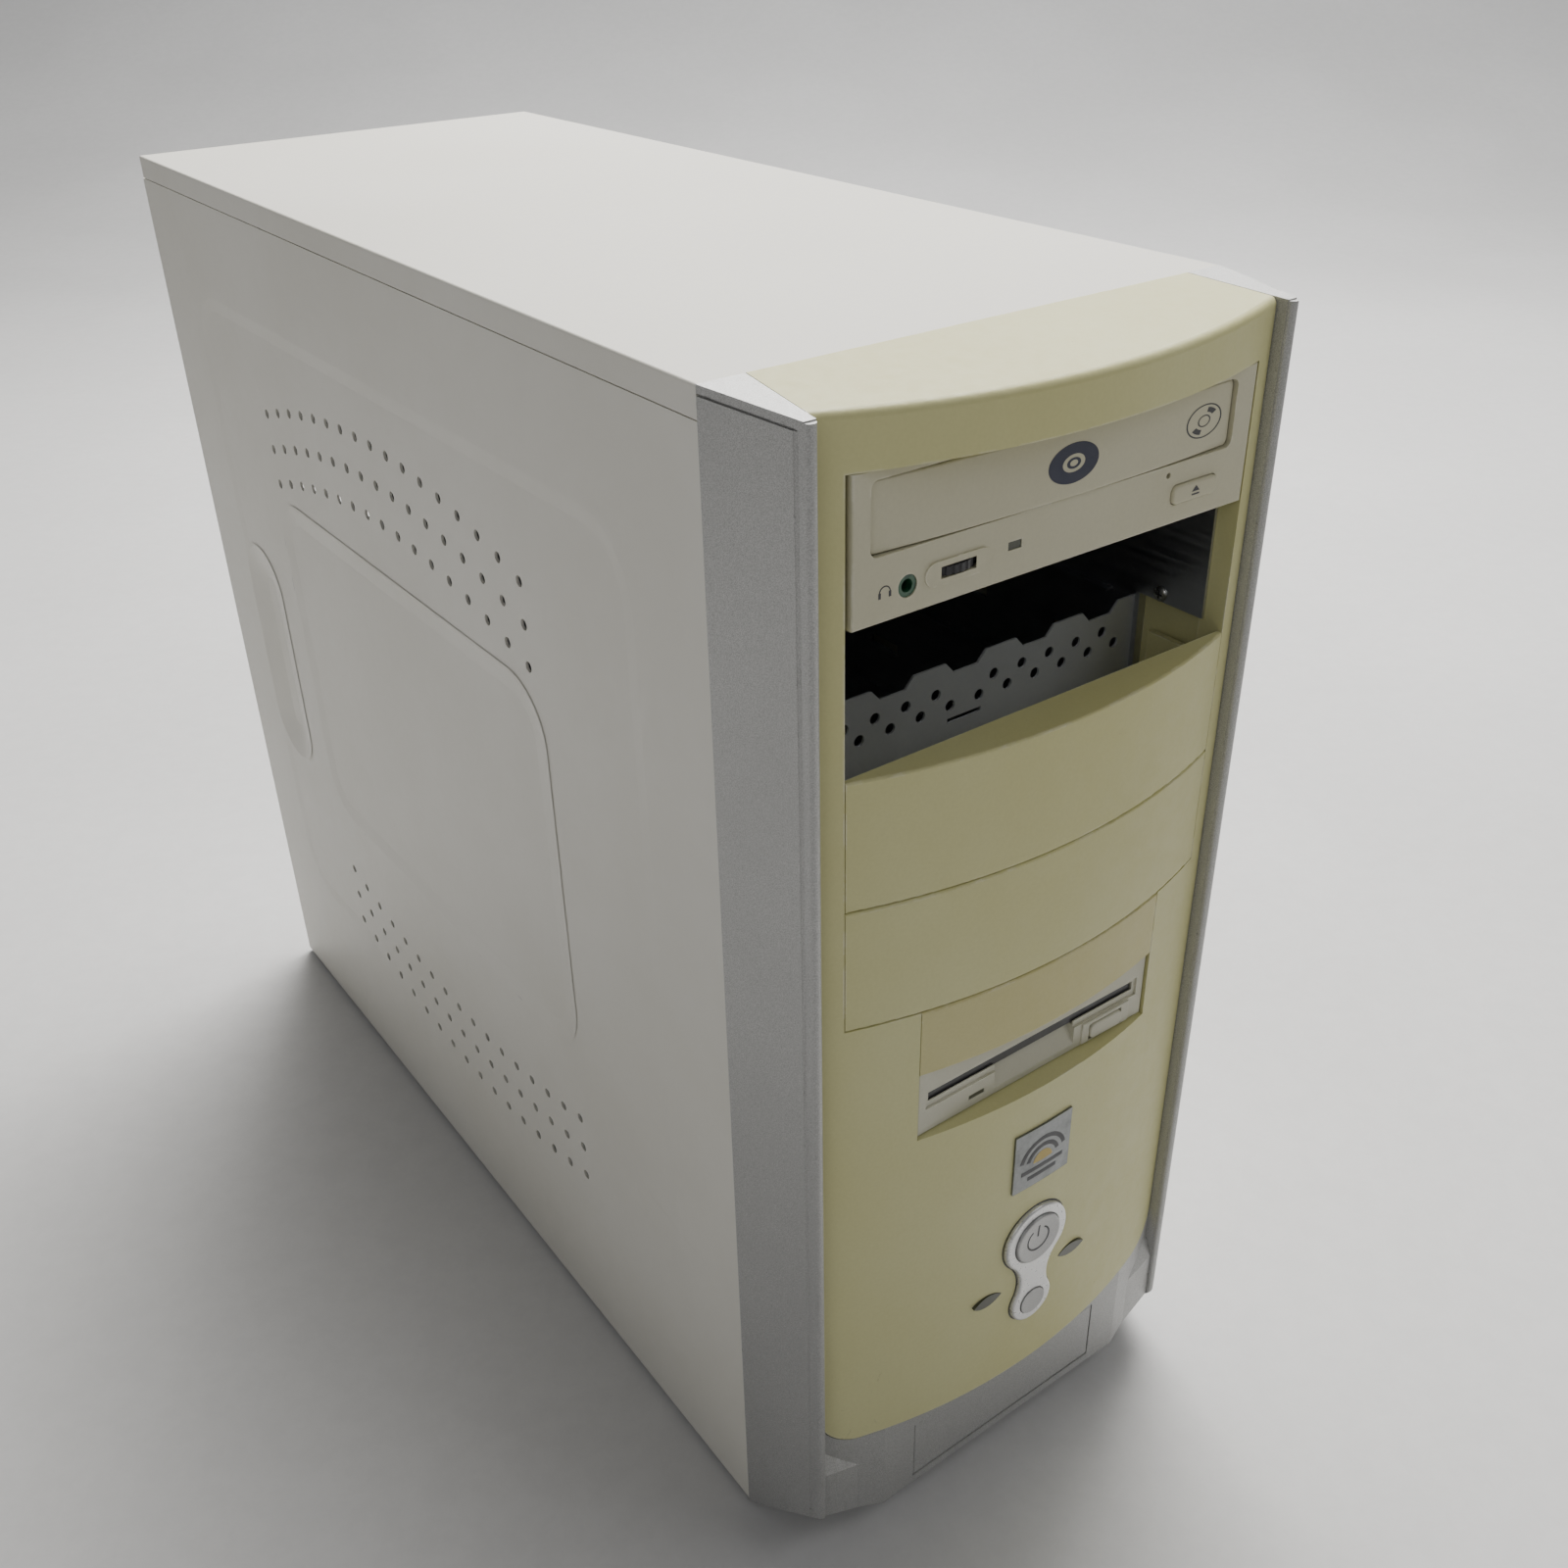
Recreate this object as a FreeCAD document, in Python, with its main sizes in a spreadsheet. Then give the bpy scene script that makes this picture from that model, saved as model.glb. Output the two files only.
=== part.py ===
"""Desktop computer tower, built as separate pieces in millimetres.

Frame: +Z up from the floor, +Y towards the rear, X across.  The pieces are drawn with
y = 0 on the joint between the steel chassis and the plastic bezel; each finished piece
is then moved by front_y so that the whole object is centred over the origin.
"""
import FreeCAD
import Part
import math
import os
import re
from FreeCAD import Placement, Rotation, Vector

# ---------------------------------------------------------------- driving dimensions
SIZES = {
    # whole case
    "front_y": -200.1, "case_half": 95, "case_top": 433, "case_depth": 440, "metal": 1,
    "skin": 2.5, "gap": 0.3, "frame_half": 93.6, "lip_line": 424, "panel_low": 2.5,
    "foot_high": 5, "foot_rad": 10, "foot_x": 70, "foot_front": 35, "foot_rear": 405,
    "flange": 12, "rail_low": 404, "screw_rad": 1.8, "head_rad": 3.4, "head_high": 2,
    # side panels
    "vent_rad": 2, "vent_pitch": 13.9, "vent_mid_y": 221.5, "vent_arc": 405, "vent_row": 15.3,
    "vent_high": 359.5, "vent_low": 99, "vent_count": 17, "field_front": 104, "field_rear": 340,
    "field_low": 149, "field_high": 306, "rim_front": 38, "rim_rear": 402, "rim_low": 74,
    "rim_high": 384, "press_deep": 0.7, "corner": 28, "grip_front": 362, "grip_rear": 404,
    "grip_low": 157, "grip_high": 268, "grip_deep": 3, "panel_flange": 13,
    "thumb_rad": 5.2, "thumb_high": 7.8, "thumb_top": 391, "thumb_low": 42, "thumb_x": 87,
    "rear_half": 90.5,
    # bezel: silver frame and chin
    "nose_half": 88, "nose_y": 34, "bead_rad": 1.75, "bezel_front_top": 430.7, "bezel_low": 1,
    "chin_nose": 38.2, "chin_top": 66, "chin_flare": 842, "chin_fade_low": 30, "chin_floor": 13.2,
    "chin_wall": 11,
    "door_half": 46, "door_low": 17, "door_high": 46, "door_thick": 2.5, "door_pin": 1.2,
    "door_slit": 6.5, "recess_half": 43, "recess_deep": 14,
    # bezel: cream fascia
    "fascia_nose": 46.2, "fascia_arc": 233, "fascia_half": 84, "fascia_back": 80, "fascia_low": 56,
    "fascia_corner": 15, "round_edge": 2.4, "bay_half": 75.5, "bay_low": 243.5, "bay_pitch": 42.875,
    "slim_half": 51.5, "slim_low": 192, "slim_split": 218.2, "sleeve": 2.2, "sleeve_back": 24,
    "cover_chord": 32, "cover_arm": 26,
    # buttons, lamps and badge
    "power_z": 121.8, "power_rad": 10.4, "power_ring": 14.4, "reset_z": 90, "reset_rad": 5.6,
    "reset_ring": 9.4, "waist_rad": 16, "ring_face": 47.9, "lamp_x": 20.5, "lamp_z": 101.3,
    "lamp_half": 6.5, "lamp_rad": 2.5, "badge_half": 13, "badge_z": 161.8, "badge_thick": 0.8,
    "slack": 0.3,
    # drives
    "cage_half": 74.3, "cage_deep": 178, "cheek_reach": 26, "slim_cage": 51.7, "slim_cage_low": 98,
    "slim_cage_deep": 152,
    "ledge": 3, "shield_y": 2, "shield_rise": 3.7, "shield_step": 29.2, "shield_hole": 1.9,
    "shield_pitch": 12, "drive_face": 34.5, "drive_half": 74, "drive_body": 73, "drive_deep": 158,
    "tray_left": -67.8, "tray_right": 66, "tray_low": 392, "tray_high": 411.5, "tray_bulge": 1.2,
    "tray_half": 63, "tray_deep": 132, "disc_rad": 60.5, "disc_deep": 2.6, "tray_thick": 5,
    "eject_left": 42.5, "eject_right": 61.3, "eject_low": 379.2, "eject_high": 384.9,
    "wheel_x": -38.8, "wheel_z": 382, "wheel_rad": 14, "wheel_thick": 2.4, "wheel_y": 21.4,
    "wheel_bore": 1.05,
    "jack_x": -55.8, "jack_z": 381.3, "jack_rad": 3.2, "lamp5_x": -18.5, "lamp5_z": 382.9,
    "pin_hole_x": 40.5, "pin_hole_z": 388.6, "pin_hole_rad": 0.9,
    "floppy_face": 39.5, "floppy_half": 50.8, "floppy_low": 192.5, "floppy_high": 217.9,
    "floppy_deep": 106, "slot_half": 46, "slot_low": 204.4, "slot_high": 207.9, "scoop_half": 18,
    "scoop_low": 195, "fkey_left": 25, "fkey_right": 40, "fkey_low": 194.2, "fkey_high": 200.1,
    "disk_low": 148, "disk_high": 174.1, "disk_half": 50.8, "disk_front": 5, "disk_deep": 146,
    # power supply
    "psu_half": 75, "psu_low": 340, "psu_high": 426, "psu_deep": 140, "psu_fan_x": -32,
    "fan_frame": 40, "fan_bore": 38, "fan_thick": 25, "fan_hub": 16, "rotor_rad": 36.5,
    "inlet_x": 48, "inlet_z": 402, "rocker_x": 48, "rocker_z": 374, "selector_x": 48, "selector_z": 354,
    # motherboard and what it carries
    "board_face": 83, "board_thick": 1.6, "tray_face": 89.5, "board_front": 194, "board_rear": 437,
    "board_low": 20, "board_high": 324, "slot_first": 156, "slot_pitch": 20.32, "slot_total": 7,
    "bracket_left": -37, "bracket_right": 80, "bracket_half": 9.2, "slot_gap_half": 6,
    "shield_left": 38.5, "shield_low": 165.2, "shield_high": 323.8,
    "cpu_y": 345, "cpu_z": 262, "sink_half": 38, "sink_low_x": 50, "cpu_fan_thick": 15,
    "case_fan_x": -24, "case_fan_z": 280,
}

doc = FreeCAD.newDocument("computer_tower")
sheet = doc.addObject("Spreadsheet::Sheet", "Dims")
for row, (alias, size) in enumerate(SIZES.items(), start=1):
    sheet.set(f"A{row}", alias)
    sheet.set(f"B{row}", str(size))
    sheet.setAlias(f"B{row}", alias)
doc.recompute()

PIECES = []


def dim(alias):
    """The number that the sheet holds for an alias."""
    return float(getattr(sheet, alias))


def formula(words):
    """Turn an expression in plain aliases into one that reads the sheet."""
    return re.sub(r"[a-z]\w*", lambda hit: "Dims." + hit.group(0) if hit.group(0) in SIZES
                  else hit.group(0),
                  str(words))


def bind(item, prop, words):
    """Drive one property from the sheet."""
    item.setExpression(prop, formula(words))


# ---------------------------------------------------------------- building blocks
def box(name, x, y, z):
    """A block between a low and a high limit along each axis."""
    item = doc.addObject("Part::Box", name)
    for side, axis, (low, high) in zip(("Length", "Width", "Height"), "xyz", (x, y, z)):
        bind(item, side, f"({high}) - ({low})")
        bind(item, f"Placement.Base.{axis}", low)
    return item


def wedge(name, y, front, back):
    """A block whose x and z limits change evenly from the front face to the back face.

    y is (front, back); front and back are each (x low, x high, z low, z high)."""
    item = doc.addObject("Part::Wedge", name)
    for prop, words in zip(("Ymin", "Ymax"), y):
        bind(item, prop, words)
    for prop, words in zip(("Xmin", "Xmax", "Zmin", "Zmax"), front):
        bind(item, prop, words)
    for prop, words in zip(("X2min", "X2max", "Z2min", "Z2max"), back):
        bind(item, prop, words)
    return item


TURN = {"x": Rotation(Vector(0, 1, 0), 90), "y": Rotation(Vector(1, 0, 0), -90), "z": Rotation()}


def rod(name, axis, start, radius, length, top=None):
    """A round bar, or a cone when its far radius is given, from start along +axis."""
    item = doc.addObject("Part::Cylinder" if top is None else "Part::Cone", name)
    item.Placement = Placement(Vector(), TURN[axis])
    if top is None:
        bind(item, "Radius", radius)
    else:
        bind(item, "Radius1", radius)
        bind(item, "Radius2", top)
    bind(item, "Height", length)
    for letter, words in zip("xyz", start):
        bind(item, f"Placement.Base.{letter}", words)
    return item


def ring(name, axis, centre, radius, wire):
    """A round wire bent into a circle about the axis."""
    item = doc.addObject("Part::Torus", name)
    item.Placement = Placement(Vector(), TURN[axis])
    bind(item, "Radius1", radius)
    bind(item, "Radius2", wire)
    for letter, words in zip("xyz", centre):
        bind(item, f"Placement.Base.{letter}", words)
    return item


def fuse(name, *parts):
    """One solid made of overlapping or touching parts."""
    item = doc.addObject("Part::MultiFuse", name)
    item.Shapes = list(parts)
    return item


def group(name, *parts):
    """Separate solids kept together as one piece."""
    item = doc.addObject("Part::Compound", name)
    item.Links = list(parts)
    return item


def common(name, *parts):
    """What all the parts share."""
    item = doc.addObject("Part::MultiCommon", name)
    item.Shapes = list(parts)
    return item


def cut(name, base, *tools):
    """The base with every tool taken out of it."""
    item = doc.addObject("Part::Cut", name)
    item.Base = base
    item.Tool = tools[0] if len(tools) == 1 else fuse(name + "_tools", *tools)
    return item


def straight(edge, axis):
    """Whether an edge is a straight line along one axis, give or take a slight taper."""
    if edge.Curve.TypeId != "Part::GeomLine":
        return False
    return abs(getattr(edge.Curve.Direction, axis)) > 0.97


def rounded(name, base, radius, wanted):
    """Round the edges of base that wanted(edge) picks; radius is an alias."""
    doc.recompute()
    item = doc.addObject("Part::Fillet", name)
    item.Base = base
    size = dim(radius) if isinstance(radius, str) else radius
    item.Edges = [(n, size, size) for n, edge in enumerate(base.Shape.Edges, start=1) if wanted(edge)]
    return item


def body(name, role, outlines, length, reverse=False, offset=None):
    """A PartDesign body padded from closed outlines on one of its origin planes."""
    item = doc.addObject("PartDesign::Body", name)
    sketch = item.newObject("Sketcher::SketchObject", name + "_sketch")
    base = [plane for plane in item.Origin.OriginFeatures if plane.Role == role][0]
    sketch.AttachmentSupport = [(base, "")]
    sketch.MapMode = "FlatFace"
    if offset:
        bind(sketch, "AttachmentOffset.Base.z", offset)
    for outline in outlines:
        for edge in outline:
            sketch.addGeometry(edge, False)
    pad = item.newObject("PartDesign::Pad", name + "_pad")
    pad.Profile = sketch
    pad.Reversed = reverse
    bind(pad, "Length", length)
    return item


def loop(points):
    """Straight edges through the points and back to the first."""
    spots = [Vector(*point, 0) for point in points]
    return [Part.LineSegment(a, b) for a, b in zip(spots, spots[1:] + spots[:1])]


def circle(x, y, radius):
    """A full circle as an outline."""
    return [Part.Circle(Vector(x, y, 0), Vector(0, 0, 1), radius)]


def finish(label, item):
    """Name a finished piece and set it in the object's own frame."""
    if item.TypeId in ("Part::Box", "Part::Cylinder", "Part::Wedge", "Part::Cone", "Part::Feature"):
        item = group(label + "_piece", item)
    item.Label = label
    bind(item, "Placement.Base.y", "front_y")
    PIECES.append(item)
    return item


def span(sign, near, far):
    """The limits from near to far on the right (sign 1), or mirrored on the left (sign -1)."""
    return (near, far) if sign > 0 else (f"-({far})", f"-({near})")


def bay(number):
    """The height of the line under a 5.25 inch bay, counted up from 0, as an expression."""
    return f"bay_low + {number} * bay_pitch"


# ---------------------------------------------------------------- steel enclosure
def make_base():
    """Bottom pan with turned-up sides."""
    pan = box("pan", ("-frame_half", "frame_half"), ("metal", "case_depth - metal"),
              ("foot_high", "foot_high + metal"))
    sides = [box(f"pan_side{n}", span, ("metal", "case_depth - metal"), ("foot_high", "foot_high + flange"))
             for n, span in enumerate((("-frame_half", "-frame_half + metal"), ("frame_half - metal",
                                                                                "frame_half")))]
    finish("chassis_base", fuse("pan_all", pan, *sides))


def top_rails():
    """Two rails under the top cover that run from the front plate to the rear plate."""
    parts = []
    for side, sign in (("left", -1), ("right", 1)):
        low, high = sorted((sign * dim("frame_half"), sign * (dim("frame_half") - dim("metal"))))
        web = box(f"rail_web_{side}", (low, high), ("metal", "case_depth - metal"),
                  ("rail_low", "case_top - 2 * metal"))
        low, high = sorted((sign * dim("frame_half"), sign * (dim("frame_half") - dim("flange"))))
        top = box(f"rail_top_{side}", (low, high), ("metal", "case_depth - metal"),
                  ("case_top - 2 * metal", "case_top - metal"))
        parts += [web, top]
    return parts


def make_front_plate():
    """Steel front plate with the drive openings, an intake grille and the two top rails."""
    plate = box("front_blank", ("-frame_half", "frame_half"), (0, "metal"),
                ("foot_high", "case_top - metal"))
    tools = [
        box("front_bay_hole", ("-cage_half", "cage_half"), ("-metal", "2 * metal"),
            ("bay_low", bay(4) + " + 2")),
        box("front_cheek_hole", ("-cage_half - metal", "cage_half + metal"), ("-metal", "2 * metal"),
            (f"{bay(2)} + 2", f"{bay(4)} - 1")),
        box("front_slim_hole", ("-slim_cage", "slim_cage"), ("-metal", "2 * metal"),
            ("slim_low - metal", "bay_low")),
        box("front_wire_hole", ("-18", "18"), ("-metal", "2 * metal"), (84, 130)),
        box("front_port_hole", ("-30", "30"), ("-metal", "2 * metal"), (24, 40)),
    ]
    pitch = 9
    for row in range(4):
        for column in range(-4, 5):
            x = column * pitch + (pitch / 2 if row % 2 else 0)
            if abs(x) < 38:
                tools.append(rod(f"intake_{row}_{column + 4}", "y", (x, "-metal", 52 + row * 7.8),
                                 "vent_rad", "3 * metal"))
    finish("chassis_front", fuse("front_frame", cut("front_plate", plate, *tools), *top_rails()))


def slot_height(number):
    """The height of an expansion slot, counted down from the top one."""
    return f"slot_first - {number} * slot_pitch"


def make_rear_plate():
    """Steel rear plate with its openings for the supply, board, cards and fan."""
    span_y = ("case_depth - 2 * metal", "case_depth + metal")
    plate = box("rear_blank", ("-rear_half", "rear_half"), ("case_depth - metal", "case_depth"),
                ("foot_high", "case_top - metal"))
    tools = [
        box("rear_psu_hole", ("-psu_half + 5", "psu_half - 5"), span_y, ("psu_low + 5", "psu_high - 5")),
        box("rear_board_hole", ("shield_left", "board_face"), span_y, ("shield_low", "shield_high")),
        rod("rear_fan_hole", "y", ("case_fan_x", "case_depth - 2 * metal", "case_fan_z"), "fan_bore",
            "3 * metal"),
    ]
    for number in range(int(dim("slot_total"))):
        height = slot_height(number)
        tools.append(box(f"rear_slot{number}", ("bracket_left + 9", "bracket_right - 3"), span_y,
                         (f"{height} - slot_gap_half", f"{height} + slot_gap_half")))
    for side in (-1, 1):
        for place in ("thumb_top", "thumb_low"):
            tools.append(rod(f"rear_{place}{side + 1}", "y", (f"{side} * thumb_x", "case_depth - 2 * metal",
                                                              place),
                             "screw_rad + slack", "3 * metal"))
    finish("chassis_rear", cut("rear_plate", plate, *tools))


def make_board_tray():
    """Steel tray that carries the motherboard on the right-hand side."""
    tray = box("tray_blank", ("tray_face", "tray_face + metal"), (176, "case_depth - metal"),
               ("foot_high + metal", "psu_low - 8"))
    window = box("tray_window", ("tray_face - metal", "tray_face + 2 * metal"), (200, 260), (60, 150))
    notch = box("tray_notch", ("tray_face - metal", "tray_face + 2 * metal"),
                ("case_depth - 12", "case_depth"),
                ("thumb_low - 4", "thumb_low + 4"))
    finish("motherboard_tray", cut("board_tray", tray, window, notch))


def make_top_cover():
    """Top cover with a lip down each side."""
    top = box("top_blank", ("-case_half", "case_half"), (0, "case_depth"), ("lip_line", "case_top"))
    inside = box("top_inside", ("-case_half + metal", "case_half - metal"),
                 ("-metal", "case_depth + metal"),
                 ("lip_line - metal", "case_top - metal"))
    edge = 0.8
    soft = rounded("top_soft", top, edge, lambda e: straight(e, "y")
                   and e.CenterOfMass.z > dim("case_top") - 1)
    finish("top_cover", cut("top_shell", soft, inside))


def vent_outlines():
    """Round vents in two fans of three arched rows, as sketch outlines in (y, z)."""
    outlines = []
    count = int(dim("vent_count"))
    for start, sign in ((dim("vent_high"), 1), (dim("vent_low"), -1)):
        for row in range(3):
            crown = start - row * dim("vent_row")
            for hole in range(count):
                along = (hole - (count - 1) / 2) * dim("vent_pitch")
                drop = dim("vent_arc") - math.sqrt(dim("vent_arc") ** 2 - along ** 2)
                outlines.append(circle(dim("vent_mid_y") + along, crown - sign * drop, dim("vent_rad")))
    return outlines


def soft_rectangle(y_low, y_high, z_low, z_high, radius):
    """A rounded rectangle in (y, z) as a wire on the plane x = 0."""
    corners = ((y_high - radius, z_high - radius, 0), (y_low + radius, z_high - radius, 90),
               (y_low + radius, z_low + radius, 180), (y_high - radius, z_low + radius, 270))
    edges = []
    ends = []
    for y, z, angle in corners:
        spots = []
        for turn in (0, 45, 90):
            a = math.radians(angle + turn)
            spots.append(Vector(0, y + radius * math.cos(a), z + radius * math.sin(a)))
        ends.append((spots[0], spots[2]))
        edges.append(Part.Arc(*spots).toShape())
    for n, (_, last) in enumerate(ends):
        edges.insert(2 * n + 1, Part.LineSegment(last, ends[(n + 1) % 4][0]).toShape())
    return Part.Wire(edges)


def pressing(limits, radius, depth, slope, face, sign):
    """A shallow pressed field: a frustum from the panel's face inwards, sides sloping."""
    y_low, y_high, z_low, z_high = limits
    outer = soft_rectangle(y_low, y_high, z_low, z_high, radius)
    inner = soft_rectangle(y_low + slope, y_high - slope, z_low + slope, z_high - slope, radius - slope)
    outer.translate(Vector(face - sign * 0.02, 0, 0))
    inner.translate(Vector(face + sign * depth, 0, 0))
    return Part.makeLoft([outer, inner], True, True)


def make_panel(label, sign):
    """Side panel: pressed sheet with a rear flange, a finger grip and round vents.

    sign is -1 for the left panel and 1 for the right one; inwards is -sign."""
    thick = dim("metal")
    face = sign * dim("case_half")
    low = min(face, face - sign * thick)
    sheet_metal = Part.makeBox(thick, dim("case_depth") + 0.2, dim("lip_line") - 0.4 - dim("panel_low"),
                               Vector(low, 0, dim("panel_low")))
    reach = dim("panel_flange")
    low = min(face, face - sign * reach)
    flange = Part.makeBox(reach, thick, dim("lip_line") - 0.4 - dim("panel_low"),
                          Vector(low, dim("case_depth") + 0.2, dim("panel_low")))
    rim = (dim("rim_front"), dim("rim_rear"), dim("rim_low"), dim("rim_high"))
    field = (dim("field_front"), dim("field_rear"), dim("field_low"), dim("field_high"))
    grip = (dim("grip_front"), dim("grip_rear"), dim("grip_low"), dim("grip_high"))
    shape = sheet_metal.fuse(flange)
    for limits, radius, depth, slope in ((rim, dim("corner"), dim("press_deep") * 0.5, 6),
                                         (field, dim("corner") * 0.8, dim("press_deep"), 8),
                                         (grip, 20, dim("grip_deep"), 16)):
        y_low, y_high, z_low, z_high = limits
        wider = (y_low - thick, y_high + thick, z_low - thick, z_high + thick)
        backing = pressing(wider, radius + thick, depth + thick, slope, face - sign * 0.05, -sign)
        hollow = pressing(limits, radius, depth, slope, face, -sign)
        shape = shape.fuse(backing).cut(hollow)
    holes = []
    for outline in vent_outlines():
        centre = outline[0].Center
        start = Vector(min(face, face - sign * 8) - 1, centre.x, centre.y)
        holes.append(Part.makeCylinder(dim("vent_rad"), 10, start, Vector(1, 0, 0)))
    for place in ("thumb_top", "thumb_low"):
        start = Vector(sign * dim("thumb_x"), dim("case_depth") - 1, dim(place))
        holes.append(Part.makeCylinder(dim("screw_rad") + 0.05, 5, start, Vector(0, 1, 0)))
    item = doc.addObject("Part::Feature", label + "_sheet")
    item.Shape = shape.cut(Part.makeCompound(holes)).removeSplitter()
    finish(label, item)


def make_thumbscrews(label, sign):
    """Two captive thumbscrews on a side panel's rear flange."""
    parts = []
    for place in ("thumb_top", "thumb_low"):
        x = f"{sign} * thumb_x"
        head_y = "case_depth + metal + 0.2"
        head = rod(f"{label}_{place}_head", "y", (x, head_y, place), "thumb_rad", "thumb_high")
        soft = rounded(f"{label}_{place}_soft", head, 0.8,
                       lambda e: e.CenterOfMass.y > dim("case_depth") + 5)
        flutes = [rod(f"{label}_{place}_flute{n}", "y",
                      (f"{x} + {math.cos(math.radians(30 * n)):.4f} * (thumb_rad + 0.35)",
                       f"{head_y} + 1.2",
                       f"{place} + {math.sin(math.radians(30 * n)):.4f} * (thumb_rad + 0.35)"), 0.75,
                      "thumb_high")
                  for n in range(12)]
        groove = box(f"{label}_{place}_slot", (f"{x} - thumb_rad", f"{x} + thumb_rad"),
                     (f"{head_y} + thumb_high - 1.2", f"{head_y} + thumb_high + 1"),
                     (f"{place} - 0.5", f"{place} + 0.5"))
        knob = cut(f"{label}_{place}_knob", soft, groove, *flutes)
        shank = rod(f"{label}_{place}_shank", "y", (x, "case_depth - 6", place), "screw_rad",
                    "6 + metal + 0.2")
        parts.append(fuse(f"{label}_{place}", knob, shank))
    finish(label, group(label + "_pair", *parts))


def make_feet():
    """Four round rubber feet with a recessed middle."""
    parts = []
    for n, (x, y) in enumerate((x, y) for x in ("-foot_x", "foot_x") for y in ("foot_front", "foot_rear")):
        foot = rod(f"foot{n}_blank", "z", (x, y, 0), "foot_rad - 1", "foot_high", top="foot_rad")
        hole = rod(f"foot{n}_hole", "z", (x, y, "-metal"), "foot_rad - 5", "metal + 2")
        parts.append(cut(f"foot{n}", foot, hole))
    finish("feet", group("foot_set", *parts))


def make_fasteners():
    """Screw heads on the rear plate, for the supply and the fan, and the board's standoffs."""
    spots = [(x, z) for x in ("-psu_half + 6", "psu_half - 6") for z in ("psu_low + 6", "psu_high - 6")]
    spots += [(f"case_fan_x + {a} * 35.8", f"case_fan_z + {b} * 35.8") for a in (-1, 1) for b in (-1, 1)]
    parts = []
    for n, (x, z) in enumerate(spots):
        head = rod(f"screw{n}_head", "y", (x, "case_depth", z), "head_rad", "head_high",
                   top="head_rad - 1.2")
        across = box(f"screw{n}_a", (f"{x} - 2", f"{x} + 2"), ("case_depth + head_high - 1",
                                                               "case_depth + 4"),
                     (f"{z} - 0.4", f"{z} + 0.4"))
        upright = box(f"screw{n}_b", (f"{x} - 0.4", f"{x} + 0.4"), ("case_depth + head_high - 1",
                                                                    "case_depth + 4"),
                      (f"{z} - 2", f"{z} + 2"))
        parts.append(cut(f"screw{n}", head, across, upright))
    for n, (y, z) in enumerate((y, z) for y in (206, 430) for z in (30, 158, 312)):
        parts.append(rod(f"standoff{n}", "x", ("board_face + board_thick", y, z), 3,
                         "tray_face - board_face - board_thick"))
    finish("screws_and_standoffs", group("screw_set", *parts))


# ---------------------------------------------------------------- bezel
def cream_space(name, spare, low):
    """The tapered space between the silver strips, spare wider each side."""
    lean = "(fascia_half - fascia_back) / nose_y"
    front_half = f"fascia_back + {lean} * 50 + {spare}"
    back_half = f"fascia_back + {spare} - {lean} * 1"
    return wedge(name, (-50, 1), (f"-({front_half})", front_half, low, 500), (f"-({back_half})", back_half,
                                                                              low, 500))


def fascia_cylinder(name, shrink, low, high):
    """The upright cylinder that gives the cream parts their bowed front."""
    return rod(name, "z", (0, "fascia_arc - fascia_nose", low), f"fascia_arc - {shrink}",
               f"({high}) - ({low})")


def underside_tools():
    """What the sweep under the chin takes away: one long wedge and a slanted block at each corner."""
    tools = [wedge("under_mid", ("-60", 0), (-110, 110, -20, "60 * chin_floor / chin_nose"),
                   (-110, 110, -20, 0))]
    rise_x = 0.485
    rise_y = 0.789
    start = Vector(60, 0, -17)
    for side in (-1, 1):
        slope = Vector(side * rise_x, -rise_y, -1)
        block = doc.addObject("Part::Box", f"under_corner{side + 1}")
        block.Length = 200
        block.Width = 200
        block.Height = 60
        turn = Rotation(Vector(0, 0, 1), slope)
        block.Placement = Placement(Vector(side * start.x, start.y, start.z), turn).multiply(
            Placement(Vector(-100, -100, 0), Rotation()))
        tools.append(block)
    return tools


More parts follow.
